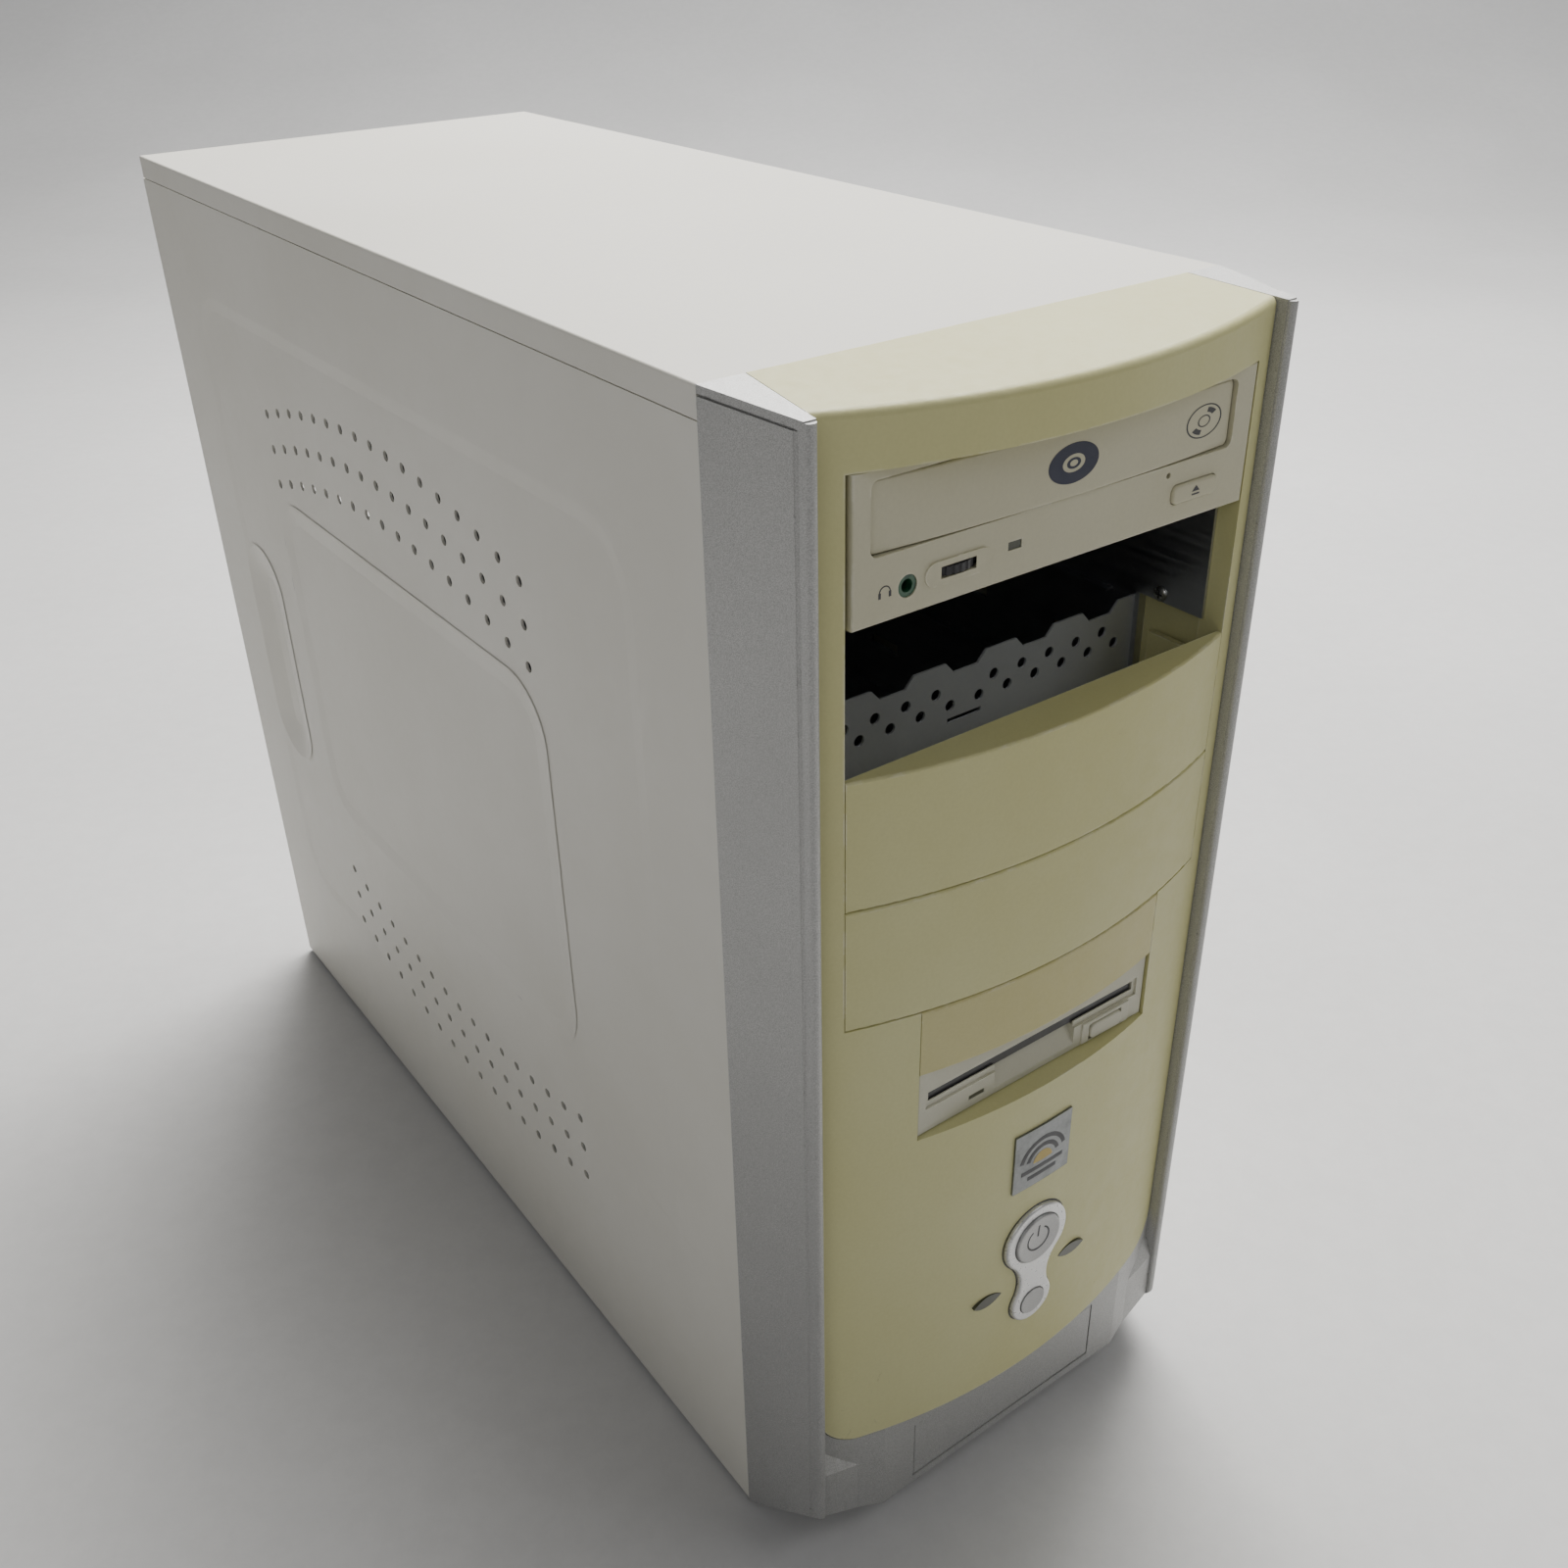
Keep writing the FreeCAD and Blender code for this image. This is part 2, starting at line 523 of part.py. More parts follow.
def make_bezel_frame():
    """Silver frame: two tapered side strips with a bead at the nose, and the chin."""
    block = wedge("frame_block", ("-nose_y", 0), ("-nose_half", "nose_half", "bezel_low",
                                                  "bezel_front_top"),
                  ("-case_half", "case_half", "bezel_low", "case_top"))
    beads = [rod(f"bead{n}", "z", (x, "-nose_y", "bezel_low"), "bead_rad",
                 "bezel_front_top - bezel_low - 0.4")
             for n, x in enumerate(("-nose_half + bead_rad", "nose_half - bead_rad"))]
    flat = box("chin_flat", ("-fascia_half - 0.6", "fascia_half + 0.6"), ("-chin_nose", -20),
               ("bezel_low", "chin_top + 12"))
    chin = common("chin_front", flat, fascia_cylinder("chin_arc", 0.1, "bezel_low", "chin_top + 12"))
    fade = wedge("chin_fade", ("-chin_nose - 1", -26),
                 ("-fascia_half - 0.6", "fascia_half + 0.6", "bezel_low", "chin_fade_low"),
                 ("-fascia_half - 0.6", "fascia_half + 0.6", "bezel_low", "chin_top"))
    flare = rod("chin_flare_arc", "z", (0, "chin_flare - chin_nose", "bezel_low"), "chin_flare", 90)
    corner = common("chin_corner", fade, flare)
    solid = fuse("frame_solid", block, *beads)
    space = cream_space("frame_space", "gap", "bezel_low - 1")
    strips = cut("frame_strips", solid, space)
    chin_all = common("chin_all", fuse("chin_both", chin, corner), cream_space("chin_limits", "gap + 0.01",
                                                                               0))
    back = box("chin_back", ("-fascia_back", "fascia_back"), ("-20.01", 0), ("bezel_low", "chin_top"))
    whole = fuse("frame_whole", strips, chin_all, back)
    # room for the fascia's rounded foot, hollows, door opening and port recess
    room_soft = rounded("fascia_room_soft", cream_space("fascia_room", "gap", "fascia_low - gap"),
                        "fascia_corner",
                        lambda e: straight(e, "y") and e.CenterOfMass.z < dim("fascia_low") + 5)
    tools = underside_tools()
    tools.append(room_soft)
    tools.append(box("chin_hollow", ("-fascia_back + skin", "fascia_back - skin"),
                     ("-chin_nose + chin_wall", 1), (17, 500)))
    tools.append(box("door_hole", ("-door_half", "door_half"), ("-60", "-chin_nose + 3"),
                     ("door_low", "door_high")))
    tools.append(box("port_hole", ("-recess_half", "recess_half"), ("-60", -20),
                     ("door_low + 2.5", "door_high - 2")))
    tools.append(rod("door_pin_hole", "x", ("-door_half - 2", "-chin_nose + 1.5", "door_low + 1.6"),
                     "door_pin + 0.05", "2 * door_half + 4"))
    for side in (-1, 1):
        front = span(side, "fascia_half + 0.9", "nose_half + 1.2")
        rear = span(side, "fascia_back + 3", "case_half - 2.7")
        tools.append(wedge(f"strip_hollow{side + 1}", (-22, 1), (*front, 40, "bezel_front_top - 4"),
                           (*rear, 40, "bezel_front_top - 4")))
        tools.append(rod(f"strip_groove{side + 1}", "z", (f"{side} * (nose_half + 0.95)", -31.6, 0), 0.9,
                         "bezel_front_top - 2.4"))
        front = span(side, "nose_half - 0.25", "nose_half + 4")
        rear = span(side, "case_half - 0.7", "case_half + 4")
        tools.append(wedge(f"strip_line{side + 1}", (-31.6, 1), (*front, "bezel_front_top - 2.9",
                                                                 "bezel_front_top - 2.2"),
                           (*rear, "case_top - 2.9", "case_top - 2.2")))
    finish("bezel_frame", cut("frame_cut", whole, *tools))


def opening_tool(name, front, back, spare):
    """The stepped hole for the four wide bays and the two slim ones."""
    wide = box(name + "_wide", (f"-bay_half - {spare}", f"bay_half + {spare}"), (front, back),
               (f"bay_low - {spare}", f"{bay(4)} + {spare}"))
    slim = box(name + "_slim", (f"-slim_half - {spare}", f"slim_half + {spare}"), (front, back),
               (f"slim_low - {spare}", "bay_low + 1"))
    return wide, slim


def make_fascia():
    """Cream front moulding: a bowed shell with sleeves round the bay openings."""
    lean = "(fascia_half - fascia_back) / nose_y"
    front_half = f"fascia_back + {lean} * 50"
    limits = wedge("fascia_limits", (-50, 0), (f"-({front_half})", front_half, "fascia_low",
                                               "bezel_front_top - 1.2"),
                   ("-fascia_back", "fascia_back", "fascia_low", "case_top"))
    outer = common("fascia_outer", limits, fascia_cylinder("fascia_face", 0, "fascia_low - 1", 500))
    high = dim("bezel_front_top")
    low = dim("fascia_low")
    soft = rounded("fascia_soft", outer, "fascia_corner",
                   lambda e: e.Curve.TypeId == "Part::GeomLine" and abs(e.Curve.Direction.y) > 0.9
                   and e.CenterOfMass.z < low + 1)
    softer = rounded("fascia_top_soft", soft, "round_edge",
                     lambda e: e.Curve.TypeId != "Part::GeomLine" and e.CenterOfMass.z > high - 8
                     and e.CenterOfMass.y < -25)
    core = common("fascia_core", wedge("fascia_core_limits", (-50, 1),
                                       (f"-({front_half}) + skin", f"{front_half} - skin",
                                        "fascia_low + skin",
                                        "bezel_front_top - skin - 1.2"),
                                       ("-fascia_back + skin", "fascia_back - skin", "fascia_low + skin",
                                        "case_top - skin")),
                  fascia_cylinder("fascia_inner_face", "skin", "fascia_low - 1", 500))
    core_soft = rounded("fascia_core_soft", core, 12.5,
                        lambda e: e.Curve.TypeId == "Part::GeomLine" and abs(e.Curve.Direction.y) > 0.9
                        and e.CenterOfMass.z < low + 4)
    shell = cut("fascia_shell", softer, core_soft)
    sleeve_wide, sleeve_slim = opening_tool("sleeve", -48, "-sleeve_back", "sleeve")
    sleeves = common("fascia_sleeves", outer, fuse("sleeve_blocks", sleeve_wide, sleeve_slim))
    shell = fuse("fascia_with_sleeves", shell, sleeves)
    hole_wide, hole_slim = opening_tool("opening", -60, 5, 0)
    tools = [hole_wide, hole_slim]
    tools.append(rod("fascia_power_hole", "y", (0, -60, "power_z"), "power_ring - 1.2", 55))
    tools.append(rod("fascia_reset_hole", "y", (0, -60, "reset_z"), "reset_ring - 1.2", 55))
    for n, x in enumerate(("-lamp_x", "lamp_x")):
        tools.append(pointed(f"fascia_lamp_hole{n}", x, -60, -5, "lamp_z", "lamp_half + 0.05",
                             "lamp_rad + 0.05"))
    finish("bezel_fascia", cut("fascia_cut", shell, *tools))


def oval(name, x, front, back, z, half, radius):
    """A flat-sided oval bar along y; half is half the distance between its two centres."""
    middle = box(name + "_mid", (f"{x} - ({half})", f"{x} + {half}"), (front, back),
                 (f"{z} - ({radius})", f"{z} + {radius}"))
    ends = [rod(f"{name}_end{n}", "y", (f"{x} + {sign} * ({half})", front, z), radius,
                f"({back}) - ({front})")
            for n, sign in enumerate((-1, 1))]
    return fuse(name, middle, *ends)


def pointed(name, x, front, back, z, half, thick):
    """A bar along y whose section is two arcs that meet in points; half and thick are half its size."""
    radius = f"((({half}) ^ 2 + ({thick}) ^ 2) / (2 * ({thick})))"
    arcs = [rod(f"{name}_arc{n}", "y", (x, front, f"{z} + {sign} * ({radius} - ({thick}))"), radius,
                f"({back}) - ({front})")
            for n, sign in enumerate((-1, 1))]
    return common(name, *arcs)


def make_bay_cover(label, half, low, high):
    """Bowed blanking cover with two snap arms reaching back."""
    outer = common(label + "_lens", fascia_cylinder(label + "_face", 0, low, high),
                   box(label + "_limits", (f"-({half})", half), (-60, "-cover_chord"), (low, high)))
    edge = 0.7
    soft = rounded(label + "_soft", outer, edge,
                   lambda e: e.Curve.TypeId != "Part::GeomLine"
                   and e.CenterOfMass.y < -dim("cover_chord") - 3)
    core = common(label + "_core", fascia_cylinder(label + "_inner", "skin", f"{low} + skin",
                                                   f"{high} - skin"),
                  box(label + "_core_limits", (f"-({half}) + skin", f"{half} - skin"),
                      (-60, "-cover_chord + 1"),
                      (f"{low} + skin", f"{high} - skin")))
    arms = [box(f"{label}_arm{n}", limits, ("-cover_chord - 0.5", "-cover_chord + cover_arm"),
                (f"({low}) + 9", f"({high}) - 9"))
            for n, limits in enumerate(((f"-({half})", f"-({half}) + 2"), (f"{half} - 2", half)))]
    finish(label, fuse(label + "_all", cut(label + "_shell", soft, core), *arms))


def eight_outline():
    """Two circles joined by hollow curves that touch both, as a closed outline in (x, z)."""
    hollow = dim("waist_rad")
    rings = ((dim("power_z"), dim("power_ring")), (dim("reset_z"), dim("reset_ring")))
    far, near = (radius + hollow for _, radius in rings)
    rise = rings[0][0] - rings[1][0]
    drop = (far ** 2 - near ** 2 + rise ** 2) / (2 * rise)
    middle = Vector(math.sqrt(far ** 2 - drop ** 2), rings[0][0] - drop, 0)
    touches = []
    for height, radius in rings:
        centre = Vector(0, height, 0)
        touches.append(centre + (middle - centre).normalize() * radius)
    waist = middle - Vector(hollow, 0, 0)

    def flipped(point):
        return Vector(-point.x, point.y, 0)

    crown = Vector(0, rings[0][0] + rings[0][1], 0)
    foot = Vector(0, rings[1][0] - rings[1][1], 0)
    return [Part.Arc(touches[0], crown, flipped(touches[0])),
            Part.Arc(flipped(touches[0]), flipped(waist), flipped(touches[1])),
            Part.Arc(flipped(touches[1]), foot, touches[1]),
            Part.Arc(touches[1], waist, touches[0])]


def make_button_bezel():
    """Silver surround in the shape of an eight: a large ring over a small one."""
    blank = body("eight_blank", "XZ_Plane", [eight_outline()], "ring_face - fascia_nose", reverse=True,
                 offset="ring_face")
    necks = [rod(f"eight_neck_{place}", "y", (0, "-fascia_nose - 0.2", f"{place}_z"),
                 f"{place}_ring - 1.25", 6)
             for place in ("power", "reset")]
    soft = rounded("eight_soft", blank, 1.0, lambda e: abs(e.CenterOfMass.y + dim("ring_face")) < 0.05)
    holes = [rod(f"eight_hole_{place}", "y", (0, -60, f"{place}_z"), f"{place}_rad + slack", 40)
             for place in ("power", "reset")]
    finish("button_bezel", cut("eight_cut", fuse("eight_all", soft, *necks), *holes))


def make_button(label, height, radius, stem):
    """Round push button with a soft rim and a shallow dish, on a stem."""
    face = 0.9
    cap = rod(label + "_cap", "y", (0, f"-ring_face - {face}", height), radius, 7)
    soft = rounded(label + "_soft", cap, 0.8, lambda e: e.CenterOfMass.y < -dim("ring_face"))
    dish_rad = 60
    dish = doc.addObject("Part::Sphere", label + "_dish")
    dish.Radius = dish_rad
    bind(dish, "Placement.Base.y", f"-ring_face - {face} - {dish_rad} + 0.7")
    bind(dish, "Placement.Base.z", height)
    plunger = rod(label + "_stem", "y", (0, f"-ring_face - {face} + 6", height), stem, 4.2)
    finish(label, fuse(label + "_all", cut(label + "_dished", soft, dish), plunger))


def make_lamps():
    """Two oval lenses beside the button surround and the drives' two activity windows."""
    lenses = [pointed(f"lamp{n}", x, "-fascia_nose + 0.3", -41, "lamp_z", "lamp_half", "lamp_rad")
              for n, x in enumerate(("-lamp_x", "lamp_x"))]
    lenses.append(box("light_optical", ("lamp5_x - 2.4", "lamp5_x + 2.4"),
                      ("-drive_face + 0.3", "-drive_face + 1"),
                      ("lamp5_z - 1.15", "lamp5_z + 1.15")))
    lenses.append(box("light_floppy", (-29, -22.5), ("-floppy_face + 0.2", "-floppy_face + 2"),
                      (196, 197.6)))
    finish("indicator_lenses", group("lamp_set", *lenses))


def make_badge():
    """Square badge, bowed like the fascia it sits on."""
    low = "badge_z - badge_half"
    high = "badge_z + badge_half"
    blank = common("badge_blank", box("badge_limits", ("-badge_half", "badge_half"), (-60, -40),
                                      (low, high)),
                   fascia_cylinder("badge_face", "-badge_thick", low, high))
    finish("badge", cut("badge_cut", blank, fascia_cylinder("badge_back", -0.05, f"{low} - 1",
                                                            f"{high} + 1")))


def make_switch_board():
    """Small circuit board behind the buttons: two switches and two lamps."""
    board = box("switch_plate", (-28, 28), (-32, -30.4), (80, 134))
    switches = []
    for n, height in enumerate(("power_z", "reset_z")):
        switches.append(box(f"switch{n}_body", (-3, 3), (-35.5, -32), (f"{height} - 3", f"{height} + 3")))
        switches.append(rod(f"switch{n}_tip", "y", (0, -36.4, height), 1.7, 1))
    for n, x in enumerate(("-lamp_x", "lamp_x")):
        switches.append(rod(f"lamp_led{n}", "y", (x, -40.5, "lamp_z"), 1.5, 8.6))
    posts = [box(f"switch_post{n}", (x, x + 4), (-30.4, 0), (105, 109)) for n, x in enumerate((-28, 24))]
    finish("switch_board", fuse("switch_all", board, *switches, *posts))


def make_door():
    """Drop-down door over the front sockets, on two pins at its lower corners."""
    front = "-chin_nose"
    slab = box("door_slab", ("-door_half + gap", "door_half - gap"), (front, "-chin_nose + door_thick"),
               ("door_low + gap", "door_high - gap"))
    soft = rounded("door_soft", slab, 0.6,
                   lambda e: abs(e.CenterOfMass.y + dim("chin_nose")) < 0.01
                   and e.CenterOfMass.z > dim("door_low") + 2)
    heel = rounded("door_heel", soft, 1.2, lambda e: straight(e, "x")
                   and e.CenterOfMass.z < dim("door_low") + 1)
    slit = box("door_notch", ("-door_slit", "door_slit"), (-60, "-chin_nose + 1.6"),
               ("door_high - 2.6", "door_high + 1"))
    pins = rod("door_pins", "x", ("-door_half - 1.6", "-chin_nose + 1.5", "door_low + 1.6"), "door_pin",
               "2 * door_half + 3.2")
    finish("port_door", fuse("door_all", cut("door_cut", heel, slit), pins))


def make_port_panel():
    """Plastic tray at the back of the door's recess, with the socket holes."""
    back = "-chin_nose + 3.6 + recess_deep"
    plate = box("port_plate", ("-recess_half - 2", "recess_half + 2"), (f"{back} - 2", back),
                ("door_low + 1", "door_high + 2"))
    tools = [box(f"port_usb_hole{n}", (f"{x} - 6.6", f"{x} + 6.6"), (-60, 0), (28.5, 34.5))
             for n, x in enumerate((-27, -9))]
    tools += [rod(f"port_jack_hole{n}", "y", (x, -60, 31.5), 3.6, 60) for n, x in enumerate((13, 29))]
    finish("port_panel", cut("port_plate_cut", plate, *tools))


def make_port_board():
    """Circuit board with two serial-bus sockets and two audio sockets."""
    back = "-chin_nose + 3.6 + recess_deep"
    parts = [box("port_pcb", (-40, 40), (back, f"{back} + 18"), (26, 27.6))]
    for n, x in enumerate((-27, -9)):
        shell = box(f"usb{n}_shell", (f"{x} - 6.5", f"{x} + 6.5"), (f"{back} - 3.4", f"{back} + 13"),
                    (28.7, 34.3))
        well = box(f"usb{n}_well", (f"{x} - 6", f"{x} + 6"), (f"{back} - 5", f"{back} + 8"), (29.2, 33.8))
        tongue = box(f"usb{n}_tongue", (f"{x} - 5", f"{x} + 5"), (f"{back} - 2.6", f"{back} + 9"),
                     (31.4, 33))
        foot = box(f"usb{n}_foot", (f"{x} - 6", f"{x} + 6"), (f"{back} + 1", f"{back} + 12"), (27.5, 28.8))
        parts += [cut(f"usb{n}_case", shell, well), tongue, foot]
    for n, x in enumerate((13, 29)):
        barrel = rod(f"jack{n}_barrel", "y", (x, f"{back} - 3.4", 31.5), 3.5, 14)
        bore = rod(f"jack{n}_bore", "y", (x, f"{back} - 5", 31.5), 1.8, 14)
        foot = box(f"jack{n}_foot", (f"{x} - 3", f"{x} + 3"), (f"{back} + 1", f"{back} + 10.4"), (27.5, 29))
        parts += [cut(f"jack{n}_case", barrel, bore), foot]
    finish("port_board", fuse("port_board_all", *parts))


# ---------------------------------------------------------------- cages and drives
def make_upper_cage():
    """Cage for the four 5.25 inch bays: two walls, a top and a floor, with rail ledges."""
    deep = "cage_deep"
    parts = [box("cage_floor", ("-cage_half - metal", "cage_half + metal"), ("metal", deep),
                 ("bay_low - 2.2", "bay_low - 1.2")),
             box("cage_roof", ("-cage_half - metal", "cage_half + metal"), ("metal", deep),
                 (f"{bay(4)} + 1.5", f"{bay(4)} + 2.5"))]
    for side in (-1, 1):
        wall = box(f"cage_wall{side + 1}", span(side, "cage_half", "cage_half + metal"), ("metal", deep),
                   ("bay_low - 2.2", f"{bay(4)} + 2.5"))
        tools = []
        for number in range(4):
            for n, y in enumerate((30, 80, 130)):
                tools.append(box(f"cage_slot{side + 1}_{number}_{n}", span(side, "cage_half - 1",
                                                                           "cage_half + 2 * metal"),
                                 (y - 8, y + 8), (f"{bay(number)} + 18", f"{bay(number)} + 22")))
        parts.append(cut(f"cage_side{side + 1}", wall, *tools))
        for number in (1, 2):
            parts.append(box(f"cage_ledge{side + 1}_{number}", span(side, "cage_half - ledge",
                                                                    "cage_half + 0.5"),
                             (12, 150), (f"{bay(number)} - 0.6", f"{bay(number)} + 0.2")))
        parts.append(box(f"cage_cheek{side + 1}", span(side, "cage_half", "cage_half + metal"),
                         ("-cheek_reach", "2 * metal"), (f"{bay(2)} + 2", f"{bay(4)} - 1")))
        parts.append(box(f"cage_ear{side + 1}", span(side, "cage_half + 0.5", "frame_half - 2"),
                         ("metal", "2 * metal"),
                         ("bay_low + 8", f"{bay(4)} - 8")))
    finish("drive_cage_upper", fuse("cage_upper_all", *parts))


def make_lower_cage():
    """Cage for the slim bays and the hard disk, hung under the upper one."""
    deep = "slim_cage_deep"
    parts = [box("slim_floor", ("-slim_cage - metal", "slim_cage + metal"), ("metal", deep),
                 ("slim_cage_low", "slim_cage_low + metal"))]
    for side in (-1, 1):
        wall = box(f"slim_wall{side + 1}", span(side, "slim_cage", "slim_cage + metal"), ("metal", deep),
                   ("slim_cage_low", "bay_low - 2.2"))
        tools = [box(f"slim_slot{side + 1}_{n}_{m}", span(side, "slim_cage - 1", "slim_cage + 2 * metal"),
                     (y - 7, y + 7), (z, z + 4))
                 for n, y in enumerate((35, 80, 120)) for m, z in enumerate((112, 134, 158, 182, 206, 228))]
        parts.append(cut(f"slim_side{side + 1}", wall, *tools))
        parts.append(box(f"slim_ear{side + 1}", span(side, "slim_cage + 0.5", "slim_cage + 12"),
                         ("metal", "2 * metal"), (104, 236)))
    parts.append(box("slim_lip", ("-slim_cage", "slim_cage"), ("metal", "2 * metal"), (132, 146)))
    finish("drive_cage_lower", fuse("cage_lower_all", *parts))


def make_shield(name, half, low, high, scalloped):
    """Punched steel screen behind a bay cover; its top edge is a row of flat humps."""
    blank = box(name + "_blank", (f"-({half})", half), ("shield_y", "shield_y + 0.8"), (low, high))
    top = dim("bay_low") + (2 * dim("bay_pitch") if scalloped else 0)
    tools = []
    pitch = dim("shield_pitch")
    rows = (f"{high} - 9.5", f"{high} - 15", f"{low} + 13.5", f"{low} + 8")
    for row, height in enumerate(rows):
        for column in range(-7, 8):
            x = column * pitch + (pitch / 2 if row % 2 else 0)
            if abs(x) < dim("cage_half") - 6 if half == "cage_half" else abs(x) < dim("slim_cage") - 5:
                if not (row == 0 and column == 0):
                    tools.append(rod(f"{name}_hole{row}_{column + 7}", "y", (x, 0, height), "shield_hole",
                                     6))
    tools.append(box(name + "_tab", (-7, 7), (0, 6), (f"{high} - 21", f"{high} - 19.4")))
    if scalloped:
        step = dim("shield_step")
        rise = dim("shield_rise")
        for column in range(-3, 4):
            x = column * step
            dip = body(f"{name}_dip{column + 3}", "XZ_Plane",
                       [loop([(x - 8.2, top + 6), (x - 8.2, top + 0.7), (x - 4.9, top + 0.7 - rise),
                              (x + 4.9, top + 0.7 - rise),
                              (x + 8.2, top + 0.7), (x + 8.2, top + 6)])], 6, reverse=True)
            tools.append(dip)
    return cut(name, blank, *tools)


def make_shields():
    """Screens behind the two wide bay covers and the slim one."""
    parts = [make_shield("shield_upper", "cage_half", f"{bay(1)} + 0.6", f"{bay(2)} + 0.7", True),
             make_shield("shield_lower", "cage_half", "bay_low + 0.4", f"{bay(1)} - 0.9", False),
             make_shield("shield_slim", "slim_cage", "slim_split + 0.6", "bay_low - 2.6", False)]
    finish("bay_shields", group("shield_set", *parts))


def make_optical_bezel():
    """Front plate of the optical drive with its openings."""
    plate = box("optical_plate", ("-drive_half", "drive_half"), ("-drive_face", "-drive_face + 4.5"),
                (f"{bay(3)} + 1.2", f"{bay(4)} - 0.2"))
    soft = rounded("optical_soft", plate, 0.5, lambda e: abs(e.CenterOfMass.y + dim("drive_face")) < 0.01)
    through = (-60, -20)
    mouth = box("optical_mouth", ("tray_left - 0.4", "tray_right + 0.4"), through,
                ("tray_low - 0.4", "tray_high + 0.4"))
    mouth_soft = rounded("optical_mouth_soft", mouth, 2.4, lambda e: straight(e, "y"))
    key = box("optical_key", ("eject_left - gap", "eject_right + gap"), through,
              ("eject_low - gap", "eject_high + gap"))
    key_soft = rounded("optical_key_soft", key, 2.4, lambda e: straight(e, "y"))
    wheel = rod("optical_wheel_slot", "z", ("wheel_x", "-wheel_y", "wheel_z - 1.7"), "wheel_rad + 0.9", 3.4)
    lamp = box("optical_lamp", ("lamp5_x - 2.5", "lamp5_x + 2.5"), ("-60", "-drive_face + 1"),
               ("lamp5_z - 1.25", "lamp5_z + 1.25"))
    jack = rod("optical_jack", "y", ("jack_x", -60, "jack_z"), "jack_rad", 60)
    pin = rod("optical_pin", "y", ("pin_hole_x", -60, "pin_hole_z"), "pin_hole_rad", 60)
    rim = oval("optical_rim", "wheel_x", "-drive_face - 0.5", "-drive_face + 1", "wheel_z", 8, 3.4)
    solid = fuse("optical_with_rim", soft, rim)
    finish("dvd_bezel", cut("optical_cut", solid, mouth_soft, key_soft, wheel, lamp, jack, pin))


def make_optical_case():
    """Steel shell of the optical drive, open at the front behind the bezel."""
    front = "-drive_face + 4.5"
    low = f"{bay(3)} + 1.8"
    high = f"{bay(4)} - 0.6"
    shell = box("optical_case", ("-drive_body", "drive_body"), (front, "drive_deep"), (low, high))
    inside = box("optical_inside", ("-drive_body + metal", "drive_body - metal"),
                 (f"{front} - 1", "drive_deep - metal"),
                 (f"{low} + metal", f"{high} - metal"))
    stamp = rounded("optical_stamp_soft", box("optical_stamp", (-52, 52), (10, 140),
                                              (f"{high} - 0.4", f"{high} + 1")), 8,
                    lambda e: straight(e, "z"))
    finish("dvd_case", cut("optical_shell", shell, inside, stamp))


def make_optical_works():
    """Spindle motor, lens sled, circuit board and headphone socket under the tray."""
    low = f"{bay(3)} + 2.8"
    parts = [box("works_deck", (-60, 60), (-5, 120), (f"{low} + 4", f"{low} + 6")),
             rod("works_motor", "z", (0, 45, f"{low} + 5.9"), 14, 4.6),
             box("works_sled", (-14, 14), (66, 92), (f"{low} + 5.9", f"{low} + 10")),
             rod("works_lens", "z", (0, 79, f"{low} + 9.9"), 4, 1),
             box("works_board", (-62, 62), (-26, 150), (f"{low} + 0.4", f"{low} + 2")),
             box("works_plug", (-50, 50), (142, 156), (f"{low} + 1.9", f"{low} + 10"))]
    parts += [rod(f"works_post{n}", "z", (x, y, f"{low} + 1.9"), 3, 2.2) for n, (x, y) in
              enumerate(((-55, 0), (55, 0), (-55, 112), (55, 112)))]
    barrel = rod("phone_barrel", "y", ("jack_x", "-drive_face + 0.4", "jack_z"), "jack_rad - 0.05", 9)
    bore = rod("phone_bore", "y", ("jack_x", -40, "jack_z"), 1.85, 18)
    parts.append(rod("wheel_pin", "z", ("wheel_x", "-wheel_y", f"{low} + 1.9"), "wheel_bore - 0.05",
                     "wheel_z + 3 - 376"))
    parts.append(box("phone_foot", ("jack_x - 3", "jack_x + 3"), (-26, -21),
                     (f"{low} + 1.9", "jack_z - 2.6")))
    finish("dvd_mechanism", fuse("works_all", cut("phone_cut", barrel, bore), *parts))


def make_tray():
    """Loading tray with a dished seat for a disc and a slot for the spindle."""
    blank = box("tray_blank2", ("-tray_half", "tray_half"), ("-drive_face + 3.5", "tray_deep"),
                ("tray_low + 1", "tray_low + 1 + tray_thick"))
    middle = 45
    dish = rod("tray_dish", "z", (0, middle, "tray_low + 1 + tray_thick - disc_deep"), "disc_rad", 10)
    small = rod("tray_small_dish", "z", (0, middle, "tray_low + tray_thick - disc_deep"), 41, 10)
    slot = box("tray_slot", (-17, 17), (middle - 18, "tray_deep - 12"), (380, 400))
    finish("dvd_tray", cut("tray_cut", blank, dish, small, slot))


def make_tray_front():
    """Crowned front strip of the loading tray."""
    slab = box("tray_slab", ("tray_left", "tray_right"), ("-drive_face - tray_bulge", "-drive_face + 3.5"),
               ("tray_low", "tray_high"))
    crown = rod("tray_crown", "z", ("(tray_left + tray_right) / 2", "900 - drive_face - tray_bulge",
                                    "tray_low - 1"), 900, 30)
    bowed = common("tray_bowed", slab, crown)
    soft = rounded("tray_corner_soft", bowed, 2, lambda e: straight(e, "y"))
    edge = rounded("tray_edge_soft", soft, 0.7, lambda e: e.CenterOfMass.y < -dim("drive_face") + 2)
    finish("dvd_tray_front", edge)


